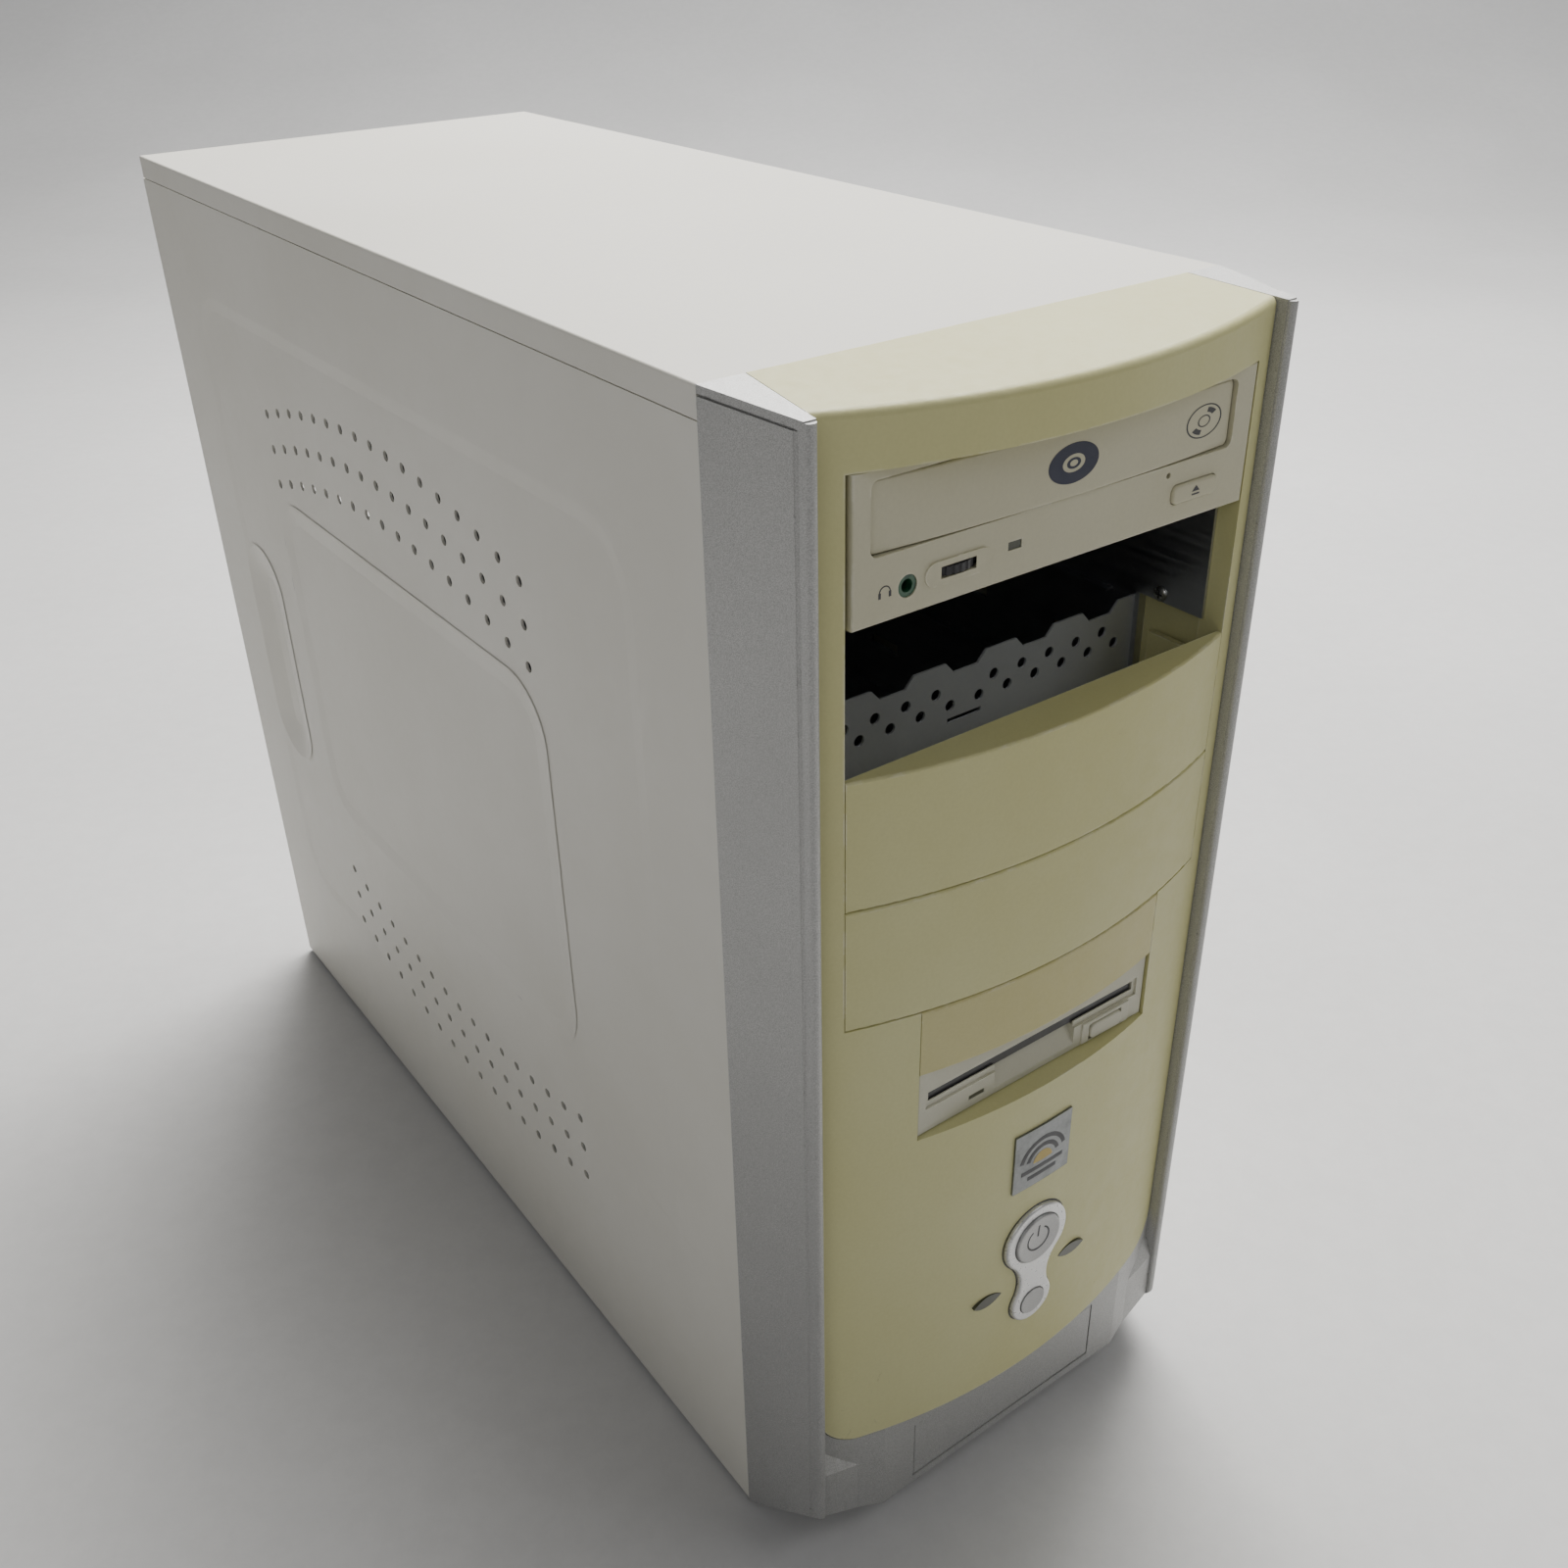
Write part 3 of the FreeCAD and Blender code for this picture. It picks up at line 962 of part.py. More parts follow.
def make_key(label, x, front, back, z, edge):
    """Oblong push key with rounded ends."""
    slab = box(label + "_slab", x, (front, back), z)
    soft = rounded(label + "_corners", slab, 2.1, lambda e: straight(e, "y"))
    nose = -dim("floppy_face") - 1 if label.startswith("floppy") else -dim("drive_face") - 1
    finish(label, rounded(label + "_edge", soft, edge, lambda e: e.CenterOfMass.y < nose + 0.3))


def make_wheel():
    """Thumb wheel for the headphone volume, with a ribbed rim, on a short spindle."""
    disc = rod("wheel_disc", "z", ("wheel_x", "-wheel_y", "wheel_z - wheel_thick / 2"), "wheel_rad",
               "wheel_thick")
    count = 36
    ribs = []
    for n in range(count):
        a = 2 * math.pi * n / count
        ribs.append(rod(f"wheel_rib{n}", "z", (f"wheel_x + {math.cos(a):.4f} * (wheel_rad + 0.3)",
                                               f"{math.sin(a):.4f} * (wheel_rad + 0.3) - wheel_y",
                                               "wheel_z - wheel_thick"), 0.7, 8))
    hub = rod("wheel_hub", "z", ("wheel_x", "-wheel_y", "wheel_z - wheel_thick / 2 - 1"), 3,
              "wheel_thick + 2")
    bore = rod("wheel_bore_hole", "z", ("wheel_x", "-wheel_y", "wheel_z - 8"), "wheel_bore", 16)
    finish("dvd_volume_wheel", cut("wheel_bored", fuse("wheel_all", cut("wheel_ribbed", disc, *ribs), hub),
                                   bore))


def make_floppy_bezel():
    """Front of the floppy drive: disk slot, sloped thumb scoop, key and lamp openings."""
    plate = box("floppy_plate", ("-floppy_half", "floppy_half"), ("-floppy_face", "-floppy_face + 4.5"),
                ("floppy_low", "floppy_high"))
    soft = rounded("floppy_soft", plate, 0.5, lambda e: abs(e.CenterOfMass.y + dim("floppy_face")) < 0.01)
    slot = box("floppy_slot", ("-slot_half", "slot_half"), (-60, -20), ("slot_low", "slot_high"))
    groove = box("floppy_groove", ("-slot_half - 1.5", "slot_half + 1.5"), (-60, "-floppy_face + 0.8"),
                 ("slot_low - 2.4", "slot_high + 1.6"))
    scoop = wedge("floppy_scoop", ("-floppy_face - 0.1", "-floppy_face + 3.6"),
                  ("-scoop_half", "scoop_half", "scoop_low", "slot_high"),
                  ("-scoop_half + 1.5", "scoop_half - 0.3", "slot_low - 1", "slot_high"))
    pocket = box("flap_pocket", ("-slot_half - 0.3", "slot_half + 0.3"), ("-floppy_face + 1.2",
                                                                          "-floppy_face + 5"),
                 ("slot_low - 1.4", "slot_high + 2.6"))
    pivot = rod("flap_pivot", "x", ("-slot_half - 1.4", "-floppy_face + 2.3", "slot_high + 1.2"), 0.65,
                "2 * slot_half + 2.8")
    key = box("floppy_key_hole", ("fkey_left - gap", "fkey_right + gap"), (-60, -20),
              ("fkey_low - gap", "fkey_high + gap"))
    frame = box("floppy_key_frame", ("fkey_left - 3.4", "fkey_right + 4"), ("-floppy_face - 0.7",
                                                                            "-floppy_face + 1"),
                ("fkey_low - 1.1", "fkey_high + 1.6"))
    frame_soft = rounded("floppy_frame_soft", frame, 0.5,
                         lambda e: e.CenterOfMass.y < -dim("floppy_face") + 0.2)
    lamp = box("floppy_lamp", (-29.1, -22.4), (-60, "-floppy_face + 2"), (195.9, 197.7))
    finish("floppy_bezel", cut("floppy_cut", fuse("floppy_framed", soft, frame_soft), slot, groove, scoop,
                               pocket,
                                pivot, key, lamp))


def make_floppy_case():
    """Steel shell of the floppy drive with its disk guide."""
    front = "-floppy_face + 4.5"
    shell = box("floppy_shell", ("-floppy_half + 0.4", "floppy_half - 0.4"), (front, "floppy_deep"),
                ("floppy_low + 0.6", "floppy_high - 0.6"))
    inside = box("floppy_inside", ("-floppy_half + 1.4", "floppy_half - 1.4"),
                 (f"{front} - 1", "floppy_deep - 1"),
                 ("floppy_low + 1.6", "floppy_high - 1.6"))
    deck = box("floppy_deck", ("-floppy_half + 1", "floppy_half - 1"),
               (f"{front} + 6", "floppy_deep - 0.5"), (200.8, 202))
    hub = rod("floppy_hub", "z", (0, 30, 201.9), 13, 1.6)
    finish("floppy_case", fuse("floppy_case_all", cut("floppy_shell_cut", shell, inside), deck, hub))


def make_floppy_flap():
    """Dust flap behind the disk slot, hung from a pin along its top edge."""
    leaf = box("flap_leaf", ("-slot_half + 0.5", "slot_half - 0.5"),
               ("-floppy_face + 1.6", "-floppy_face + 2.3"), ("slot_low - 0.6", "slot_high + 0.9"))
    pin = rod("flap_pin", "x", ("-slot_half - 1.2", "-floppy_face + 2.3", "slot_high + 1.2"), 0.6,
              "2 * slot_half + 2.4")
    finish("floppy_flap", fuse("flap_all", leaf, pin))


def make_hard_disk():
    """Cast hard disk body with a lid, spindle boss and circuit board underneath."""
    y = ("disk_front", "disk_front + disk_deep")
    base = box("disk_base", ("-disk_half", "disk_half"), y, ("disk_low + 3", "disk_high - 2"))
    soft = rounded("disk_soft", base, 3, lambda e: straight(e, "z"))
    lid = rounded("disk_lid_soft", box("disk_lid", ("-disk_half + 4", "disk_half - 4"),
                                       ("disk_front + 4", "disk_front + disk_deep - 18"),
                                       ("disk_high - 2.1", "disk_high")), 6, lambda e: straight(e, "z"))
    hollow = rod("disk_ring", "z", (0, "disk_front + 60", "disk_high - 0.6"), 34, 2)
    finish("hard_disk", fuse("disk_all", soft, cut("disk_lid_cut", lid, hollow)))
    board = box("disk_board", ("-disk_half + 6", "disk_half - 6"),
                ("disk_front + 30", "disk_front + disk_deep"), ("disk_low", "disk_low + 1.6"))
    chips = [box(f"disk_chip{n}", (x, x + 18), (yy, yy + 18), ("disk_low + 1.5", "disk_low + 3"))
             for n, (x, yy) in
             enumerate(((-30, 60), (8, 60), (-12, 92)))]
    plug = box("disk_plug", (-42, 42), ("disk_front + disk_deep - 12", "disk_front + disk_deep"),
               ("disk_low + 1.5", "disk_low + 3"))
    finish("hard_disk_board", fuse("disk_board_all", board, plug, *chips))


# ---------------------------------------------------------------- power supply and fans
def make_supply():
    """Steel case of the power supply with its fan, inlet and switch openings."""
    y = ("case_depth - metal - psu_deep", "case_depth - metal")
    shell = box("psu_shell", ("-psu_half", "psu_half"), y, ("psu_low", "psu_high"))
    inside = box("psu_inside", ("-psu_half + metal", "psu_half - metal"),
                 (y[0] + " + metal", "case_depth - 2 * metal"),
                 ("psu_low + metal", "psu_high - metal"))
    rear = ("case_depth - 10", "case_depth + 5")
    tools = [inside,
             rod("psu_fan_hole", "y", ("psu_fan_x", rear[0], "(psu_low + psu_high) / 2"), "fan_bore", 20),
             box("psu_inlet_hole", ("inlet_x - 13.7", "inlet_x + 13.7"), rear,
                 ("inlet_z - 9.9", "inlet_z + 9.9")),
             box("psu_rocker_hole", ("rocker_x - 9.6", "rocker_x + 9.6"), rear,
                 ("rocker_z - 6.6", "rocker_z + 6.6")),
             box("psu_selector_hole", ("selector_x - 7", "selector_x + 7"), rear,
                 ("selector_z - 3", "selector_z + 3"))]
    for n in range(9):
        tools.append(box(f"psu_grille{n}", (f"-psu_half + {12 + 14 * n}", f"-psu_half + {16 + 14 * n}"),
                         ("case_depth - psu_deep - 5", "case_depth - psu_deep + 5"),
                         ("psu_low + 12", "psu_high - 12")))
    finish("psu_case", cut("psu_cut", shell, *tools))


def make_supply_board():
    """Circuit board of the supply with transformer, heat sinks and capacitors."""
    low = "psu_low + 7"
    start = "case_depth - psu_deep"
    parts = [box("supply_plate", ("-psu_half + 3", "psu_half - 3"), (f"{start} + 4", f"{start} + 108"),
                 (low, f"{low} + 1.6")),
             box("supply_trafo", (-14, 20), (f"{start} + 34", f"{start} + 74"),
                 (f"{low} + 1.5", f"{low} + 36")),
             box("supply_sink_a", (-34, -31), (f"{start} + 12", f"{start} + 100"),
                 (f"{low} + 1.5", f"{low} + 46")),
             box("supply_sink_b", (30, 33), (f"{start} + 12", f"{start} + 90"),
                 (f"{low} + 1.5", f"{low} + 46"))]
    parts += [rod(f"supply_cap{n}", "z", (x, f"{start} + {y}", f"{low} + 1.5"), r, tall)
              for n, (x, y, r, tall) in
              enumerate(((-54, 30, 11, 34), (-54, 60, 11, 34), (50, 24, 7, 24), (50, 46, 7, 24),
                         (60, 72, 5, 18)))]
    parts += [box(f"supply_post{n}", (x, x + 6), (f"{start} + {y}", f"{start} + {y + 6}"),
                  ("psu_low + metal", f"{low} + 0.5"))
              for n, (x, y) in enumerate(((-70, 8), (64, 8), (-70, 98), (64, 98)))]
    finish("psu_circuit", fuse("supply_all", *parts))


def fan_frame(name, axis, start, thick):
    """Square fan housing with a round duct, four screw holes, a motor mount and three struts."""
    x, y, z = start
    if axis == "y":
        block = box(name + "_block", (f"{x} - fan_frame", f"{x} + fan_frame"), (y, f"{y} + {thick}"),
                    (f"{z} - fan_frame", f"{z} + fan_frame"))
        hub_start = (x, f"{y} + {thick} - 3", z)
    else:
        block = box(name + "_block", (x, f"{x} + {thick}"), (f"{y} - fan_frame", f"{y} + fan_frame"),
                    (f"{z} - fan_frame", f"{z} + fan_frame"))
        hub_start = (f"{x} + {thick} - 3", y, z)
    begin = (x, f"{y} - 1", z) if axis == "y" else (f"{x} - 1", y, z)
    soft = rounded(name + "_soft", block, 4, lambda e: straight(e, axis))
    tools = [rod(name + "_duct", axis, begin, "fan_bore", f"{thick} + 2")]
    for n, (a, b) in enumerate(((-1, -1), (-1, 1), (1, -1), (1, 1))):
        spot = (f"{x} + {a} * 35.8", f"{y} - 1", f"{z} + {b} * 35.8") if axis == "y" else (
            f"{x} - 1", f"{y} + {a} * 35.8", f"{z} + {b} * 35.8")
        tools.append(rod(f"{name}_hole{n}", axis, spot, 2.1, f"{thick} + 2"))
    hub = rod(name + "_hub", axis, hub_start, "fan_hub", 3)
    if axis == "y":
        arms = [box(name + "_arm0", (f"{x} - fan_bore - 1", f"{x} + fan_bore + 1"),
                    (f"{y} + {thick} - 2.6", f"{y} + {thick}"), (f"{z} - 2", f"{z} + 2")),
                box(name + "_arm1", (f"{x} - 2", f"{x} + 2"), (f"{y} + {thick} - 2.6", f"{y} + {thick}"),
                    (f"{z} - fan_bore - 1", f"{z} + fan_bore + 1"))]
    else:
        arms = [box(name + "_arm0", (f"{x} + {thick} - 2.6", f"{x} + {thick}"),
                    (f"{y} - fan_bore - 1", f"{y} + fan_bore + 1"), (f"{z} - 2", f"{z} + 2")),
                box(name + "_arm1", (f"{x} + {thick} - 2.6", f"{x} + {thick}"), (f"{y} - 2", f"{y} + 2"),
                    (f"{z} - fan_bore - 1", f"{z} + fan_bore + 1"))]
    return fuse(name, cut(name + "_cut", soft, *tools), hub, *arms)


def make_rotor(label, axis, centre, thick, blades):
    """Fan rotor: a hub cup with pitched blades.  centre is the middle of the hub's front face."""
    hub_rad = dim("fan_hub") - 0.2
    tip = dim("rotor_rad")
    hub = Part.makeCylinder(hub_rad, thick, Vector(0, 0, 0), Vector(0, 0, 1))
    shape = hub
    pitch = math.radians(38)
    for n in range(blades):
        blade = Part.makeBox(tip - hub_rad + 3, 1.4, (thick - 1) / math.cos(pitch) + 6,
                             Vector(hub_rad - 3, -0.7, -3))
        blade.rotate(Vector(0, 0, thick / 2), Vector(1, 0, 0), math.degrees(pitch))
        blade.rotate(Vector(0, 0, 0), Vector(0, 0, 1), 360 * n / blades)
        shape = shape.fuse(blade)
    slab = Part.makeCylinder(tip, thick - 0.6, Vector(0, 0, 0.3), Vector(0, 0, 1))
    shape = shape.common(slab.fuse(Part.makeCylinder(hub_rad, thick, Vector(0, 0, 0), Vector(0, 0, 1))))
    shape = shape.removeSplitter()
    shape.rotate(Vector(0, 0, 0), TURN[axis].Axis, math.degrees(TURN[axis].Angle))
    shape.translate(Vector(*centre))
    item = doc.addObject("Part::Feature", label + "_rotor")
    item.Shape = shape
    finish(label, item)


def make_guards():
    """Wire guards over the two rear fan openings: rings joined by a cross."""
    guards = []
    for name, x, z in (("psu", "psu_fan_x", "(psu_low + psu_high) / 2"), ("case", "case_fan_x",
                                                                          "case_fan_z")):
        wire = 0.8
        centre = (x, "case_depth + 1.6", z)
        parts = [ring(f"{name}_ring{n}", "y", centre, radius, wire)
                 for n, radius in enumerate((10, 18, 26, 34))]
        parts += [rod(f"{name}_bar0", "x", (f"{x} - 36", "case_depth + 0.9", z), wire, 72),
                  rod(f"{name}_bar1", "z", (x, "case_depth + 0.9", f"{z} - 36"), wire, 72)]
        guards.append(fuse(name + "_guard", *parts))
    finish("fan_guards", group("guard_pair", *guards))


def make_inlet():
    """Three-pin mains inlet with its flange."""
    flange = box("inlet_flange", ("inlet_x - 15.5", "inlet_x + 15.5"),
                 ("case_depth - metal", "case_depth + 1.2"), ("inlet_z - 12", "inlet_z + 12"))
    soft = rounded("inlet_soft", flange, 2, lambda e: straight(e, "y"))
    block = box("inlet_block", ("inlet_x - 13.5", "inlet_x + 13.5"), ("case_depth - 19", "case_depth"),
                ("inlet_z - 9.7", "inlet_z + 9.7"))
    well = rounded("inlet_well_soft", box("inlet_well", ("inlet_x - 12", "inlet_x + 12"),
                                          ("case_depth - 16", "case_depth + 3"),
                                          ("inlet_z - 8", "inlet_z + 8")), 3.5,
                   lambda e: straight(e, "y") and e.CenterOfMass.z > dim("inlet_z"))
    pins = [box(f"inlet_pin{n}", (f"inlet_x + {dx} - 1", f"inlet_x + {dx} + 1"),
                ("case_depth - 17", "case_depth - 3"),
                (f"inlet_z + {dz} - 2", f"inlet_z + {dz} + 2"))
            for n, (dx, dz) in enumerate(((-7, -2), (0, 2), (7, -2)))]
    finish("psu_inlet", fuse("inlet_all", cut("inlet_cut", fuse("inlet_solid", soft, block), well), *pins))


def make_rocker():
    """On-off rocker of the supply, pivoting on a pin along z, in its own frame."""
    housing = box("rocker_frame", ("rocker_x - 11", "rocker_x + 11"),
                  ("case_depth - metal", "case_depth + 1"), ("rocker_z - 8", "rocker_z + 8"))
    shell = box("rocker_shell", ("rocker_x - 9.5", "rocker_x + 9.5"), ("case_depth - 12", "case_depth"),
                ("rocker_z - 6.5", "rocker_z + 6.5"))
    well = box("rocker_well", ("rocker_x - 8.3", "rocker_x + 8.3"), ("case_depth - 10.5", "case_depth + 2"),
               ("rocker_z - 5.3", "rocker_z + 5.3"))
    seat = rod("rocker_seat", "z", ("rocker_x", "case_depth - 3", "rocker_z - 6.1"), 1.05, 12.2)
    finish("psu_switch_housing", cut("rocker_housing_cut", fuse("rocker_solid", housing, shell), well,
                                     seat))
    reach = dim("rocker_z")
    middle = Vector(dim("rocker_x"), dim("case_depth") - 3, reach - 5)
    outline = [(-7.6, 3.2), (-7.2, 4.4), (0, 3.0), (7.2, 1.4), (7.6, 0.2), (3.6, -3.6), (-3.6, -3.6)]
    face = Part.Face(Part.makePolygon([Vector(a, b, 0) + middle for a, b in outline + outline[:1]]))
    shape = face.extrude(Vector(0, 0, 10)).fuse(Part.makeCylinder(1, 11.8, middle + Vector(0, 0, -0.9),
                                                                  Vector(0, 0, 1)))
    item = doc.addObject("Part::Feature", "rocker_body")
    item.Shape = shape
    finish("psu_rocker", item)


def make_selector():
    """Sunken slide that picks the mains voltage."""
    slab = box("selector_slab", ("selector_x - 6.8", "selector_x - 1.8"),
               ("case_depth - 4.5", "case_depth - 1.2"), ("selector_z - 2.7", "selector_z + 2.7"))
    notch = box("selector_notch", ("selector_x - 4.8", "selector_x - 3.8"),
                ("case_depth - 2.4", "case_depth"), ("selector_z - 3", "selector_z + 3"))
    finish("psu_voltage_selector", cut("selector_cut", slab, notch))


# ---------------------------------------------------------------- motherboard
def make_board():
    """Motherboard with its chips."""
    face = "board_face"
    parts = [box("board_plate", (face, f"{face} + board_thick"), ("board_front", "board_rear"),
                 ("board_low", "board_high"))]
    chips = (("socket", 5, 322, 370, 238, 288), ("north", 4, 262, 296, 190, 224), ("south", 2.6, 250, 282,
                                                                                   88, 120),
             ("bios", 3, 214, 228, 60, 74), ("super", 2.2, 300, 318, 60, 74), ("power", 9, 206, 216, 168,
                                                                               176))
    for name, tall, y0, y1, z0, z1 in chips:
        parts.append(box(f"chip_{name}", (f"{face} - {tall}", f"{face} + 0.1"), (y0, y1), (z0, z1)))
    for n, (y, z) in enumerate(((300, 232), (300, 246), (300, 290), (314, 308), (332, 308), (390, 214),
                                (402, 214), (240, 150))):
        parts.append(rod(f"board_cap{n}", "x", (f"{face} - 13", y, z), 4, 13.1))
    finish("motherboard", fuse("board_all", *parts))


def make_sockets():
    """Memory and expansion sockets on the board."""
    face = "board_face"
    parts = []
    for n, y in enumerate((222, 233, 244)):
        bar = box(f"memory_bar{n}", (f"{face} - 9", face), (y, y + 7), (184, 322))
        slot = box(f"memory_slot{n}", (f"{face} - 10", f"{face} - 4"), (y + 2.6, y + 4.4), (187, 319))
        parts.append(cut(f"memory_socket{n}", bar, slot))
    for number in range(6):
        height = slot_height(number)
        bar = box(f"card_bar{number}", (f"{face} - 11", face), (328, 412),
                  (f"{height} - 4.2", f"{height} + 4.2"))
        slot = box(f"card_slot{number}", (f"{face} - 12", f"{face} - 4"), (320, 420),
                   (f"{height} - 1", f"{height} + 1"))
        parts.append(cut(f"card_socket{number}", bar, slot))
    finish("board_sockets", group("socket_set", *parts))


def make_memory():
    """Two memory modules with their chips."""
    parts = []
    for n, y in enumerate((222, 233)):
        card = box(f"module{n}_card", ("board_face - 34", "board_face - 4"), (y + 2.9, y + 4.1), (188, 318))
        chips = [box(f"module{n}_chip{m}", ("board_face - 28", "board_face - 17"), (y + 1.8, y + 5.2),
                     (192 + 16 * m, 204 + 16 * m)) for m in range(8)]
        parts.append(fuse(f"module{n}", card, *chips))
    finish("memory_modules", group("module_pair", *parts))


def make_cpu_cooler():
    """Finned heat sink on the processor with a fan on its face."""
    base = box("sink_base", ("board_face - 9.4", "board_face - 5"),
               ("cpu_y - sink_half", "cpu_y + sink_half"), ("cpu_z - sink_half", "cpu_z + sink_half"))
    fins = [box(f"sink_fin{n}", ("sink_low_x", "board_face - 9.3"),
                ("cpu_y - sink_half", "cpu_y + sink_half"),
                (f"cpu_z - sink_half + {5.7 * n}", f"cpu_z - sink_half + {5.7 * n} + 1.4"))
            for n in range(14)]
    trim = box("sink_relief", ("sink_low_x + 12", "board_face - 14"), ("cpu_y - 1.5", "cpu_y + 1.5"),
               ("cpu_z - sink_half", "cpu_z + sink_half + 2"))
    finish("cpu_heatsink", cut("sink_cut", fuse("sink_all", base, *fins), trim))


def make_fan_frames():
    """Housings of the case fan, supply fan and processor fan."""
    middle = "(psu_low + psu_high) / 2"
    frames = [fan_frame("case_fan_housing", "y", ("case_fan_x", "case_depth - metal - fan_thick",
                                                  "case_fan_z"), "fan_thick"),
              fan_frame("psu_fan_housing", "y", ("psu_fan_x", "case_depth - 2 * metal - fan_thick", middle),
                        "fan_thick"),
              fan_frame("cpu_fan_housing", "x", ("sink_low_x - cpu_fan_thick", "cpu_y", "cpu_z"),
                        "cpu_fan_thick")]
    finish("fan_frames", group("fan_frame_set", *frames))


def make_ports():
    """Rear connectors: keyboard and mouse, serial bus, display, parallel, network and audio."""
    face = "board_face"
    front = 416
    back = "case_depth - metal"
    proud = "case_depth + 1.6"
    parts = []

    def shell(name, depth, z0, z1, wells):
        block = box(name, (f"{face} - {depth}", face), (front, back), (z0, z1))
        parts.append(cut(name + "_cut", block, *wells) if wells else block)

    well_y = ("case_depth - 12", "case_depth + 5")
    shell("port_ps2", 30, 298, 313, [rod(f"ps2_{n}", "y", (f"{face} - {x}", "case_depth - 4.5", 305.5), 4.6,
                                         20) for n, x in enumerate((8, 22))])
    shell("port_usb_pair", 15, 280, 295, [box(f"rear_usb{n}", (f"{face} - 13.5", f"{face} - 1.5"), well_y,
                                              (z, z + 5.2)) for n, z in enumerate((281.6, 288.2))])
    shell("port_lan", 30, 258, 276, [box("lan_well", (f"{face} - 28", f"{face} - 16"), well_y, (260, 269)),
                                     box("usb_well_low", (f"{face} - 13.5", f"{face} - 1.5"), well_y,
                                         (260, 265.2)),
                                     box("usb_well_high", (f"{face} - 13.5", f"{face} - 1.5"), well_y,
                                         (267, 272.2))])
    shell("port_display", 14, 222, 254, [])
    shell("port_parallel", 30, 186, 219, [box("parallel_well", (f"{face} - 27", f"{face} - 18"), well_y,
                                              (189, 216))])
    shell("port_audio", 14, 167, 184, [rod(f"audio{n}", "y", (f"{face} - 7", "case_depth - 12", z), 1.8,
                                           20) for n, z in enumerate((171, 180))])
    for n, z in enumerate((283.3, 289.9, 261.7, 268.7)):
        parts.append(box(f"usb_tongue{n}", (f"{face} - 12", f"{face} - 3"),
                         ("case_depth - 13", "case_depth - 2.5"), (z, z + 1.8)))
    parts.append(box("display_nose", (f"{face} - 11", f"{face} - 3"), ("case_depth - 3", proud),
                     (228, 248)))
    finish("io_ports", fuse("ports_all", *parts))


def make_io_shield():
    """Pressed cover plate round the rear connectors."""
    plate = box("io_plate", ("shield_left + 0.2", "board_face - 0.2"), ("case_depth - metal", "case_depth"),
                ("shield_low + 0.2", "shield_high - 0.2"))
    face = dim("board_face")
    holes = ((30, 297.5, 313.5), (15, 279.5, 295.5), (30, 257.5, 276.5), (14, 221.5, 254.5),
             (30, 185.5, 219.5), (14, 166.5, 184.5))
    tools = [box(f"io_hole{n}", (face - deep - 0.4, face + 1), ("case_depth - 3", "case_depth + 2"),
                 (z0, z1)) for n, (deep, z0, z1) in enumerate(holes)]
    finish("io_shield", cut("io_cut", plate, *tools))


def bracket(name, height):
    """Slot bracket: a long blade inside the rear plate with its top tab folded forward."""
    blade = box(name + "_blade", ("bracket_left", "bracket_right"), ("case_depth - 2 * metal",
                                                                     "case_depth - metal"),
                (f"{height} - bracket_half", f"{height} + bracket_half"))
    tab = box(name + "_tab", ("bracket_left", "bracket_left + metal"),
              ("case_depth - 13", "case_depth - metal"),
              (f"{height} - bracket_half", f"{height} + bracket_half"))
    return fuse(name, blade, tab)


def make_slot_covers():
    """Blank brackets over the unused expansion slots."""
    parts = [bracket(f"blank{number}", slot_height(number)) for number in range(1, int(dim("slot_total")))]
    finish("slot_covers", group("blank_set", *parts))


def make_graphics_card():
    """Display card with a finned cooler, in the top slot."""
    height = slot_height(0)
    card = box("card_plate", ("board_face - 105", "board_face - 4.2"), (268, "case_depth - 2 * metal"),
               (f"{height} - 0.8", f"{height} + 0.8"))
    sink = box("card_sink", (12, 52), (318, 358), (f"{height} - 12", f"{height} - 0.7"))
    grooves = [box(f"card_groove{n}", (8, 56), (321.5 + 5 * n, 324.5 + 5 * n),
                   (f"{height} - 13", f"{height} - 3")) for n in range(7)]
    chips = [box(f"card_chip{n}", (x, x + 14), (y, y + 10), (f"{height} - 2.4", f"{height} - 0.7"))
             for n, (x, y) in
             enumerate(((-14, 330), (-14, 348), (30, 296), (54, 296)))]
    nose = box("card_nose", (20, 50), ("case_depth - 16", "case_depth + 1.6"),
               (f"{height} - 5", f"{height} + 5"))
    parts = fuse("card_all", card, cut("card_sink_cut", sink, *grooves), bracket("card_bracket", height),
                 nose, *chips)
    finish("graphics_card", parts)


make_base()
make_front_plate()
make_rear_plate()
make_board_tray()
make_top_cover()
make_panel("left_panel", -1)
make_panel("right_panel", 1)
make_thumbscrews("left_thumbscrews", -1)
make_thumbscrews("right_thumbscrews", 1)
make_feet()
make_fasteners()
make_bezel_frame()
make_fascia()
make_bay_cover("bay_cover_upper", "bay_half - gap", f"{bay(1)} + 0.2", f"{bay(2)} - 0.2")
make_bay_cover("bay_cover_lower", "bay_half - gap", "bay_low + 0.2", f"{bay(1)} - 0.2")
make_bay_cover("bay_cover_small", "slim_half - gap", "slim_split + 0.2", "bay_low - 0.2")
make_button_bezel()
make_button("power_button", "power_z", "power_rad", 3)
make_button("reset_button", "reset_z", "reset_rad", 2)
make_lamps()
make_badge()
make_switch_board()
make_door()
make_port_panel()
make_port_board()
make_upper_cage()
make_lower_cage()
make_shields()
make_optical_bezel()
make_optical_case()
make_optical_works()
make_tray()
make_tray_front()
make_key("dvd_eject_button", ("eject_left", "eject_right"), "-drive_face - 1", "-drive_face + 7",
         ("eject_low", "eject_high"), 0.8)
make_wheel()
make_floppy_bezel()
make_floppy_case()
make_floppy_flap()
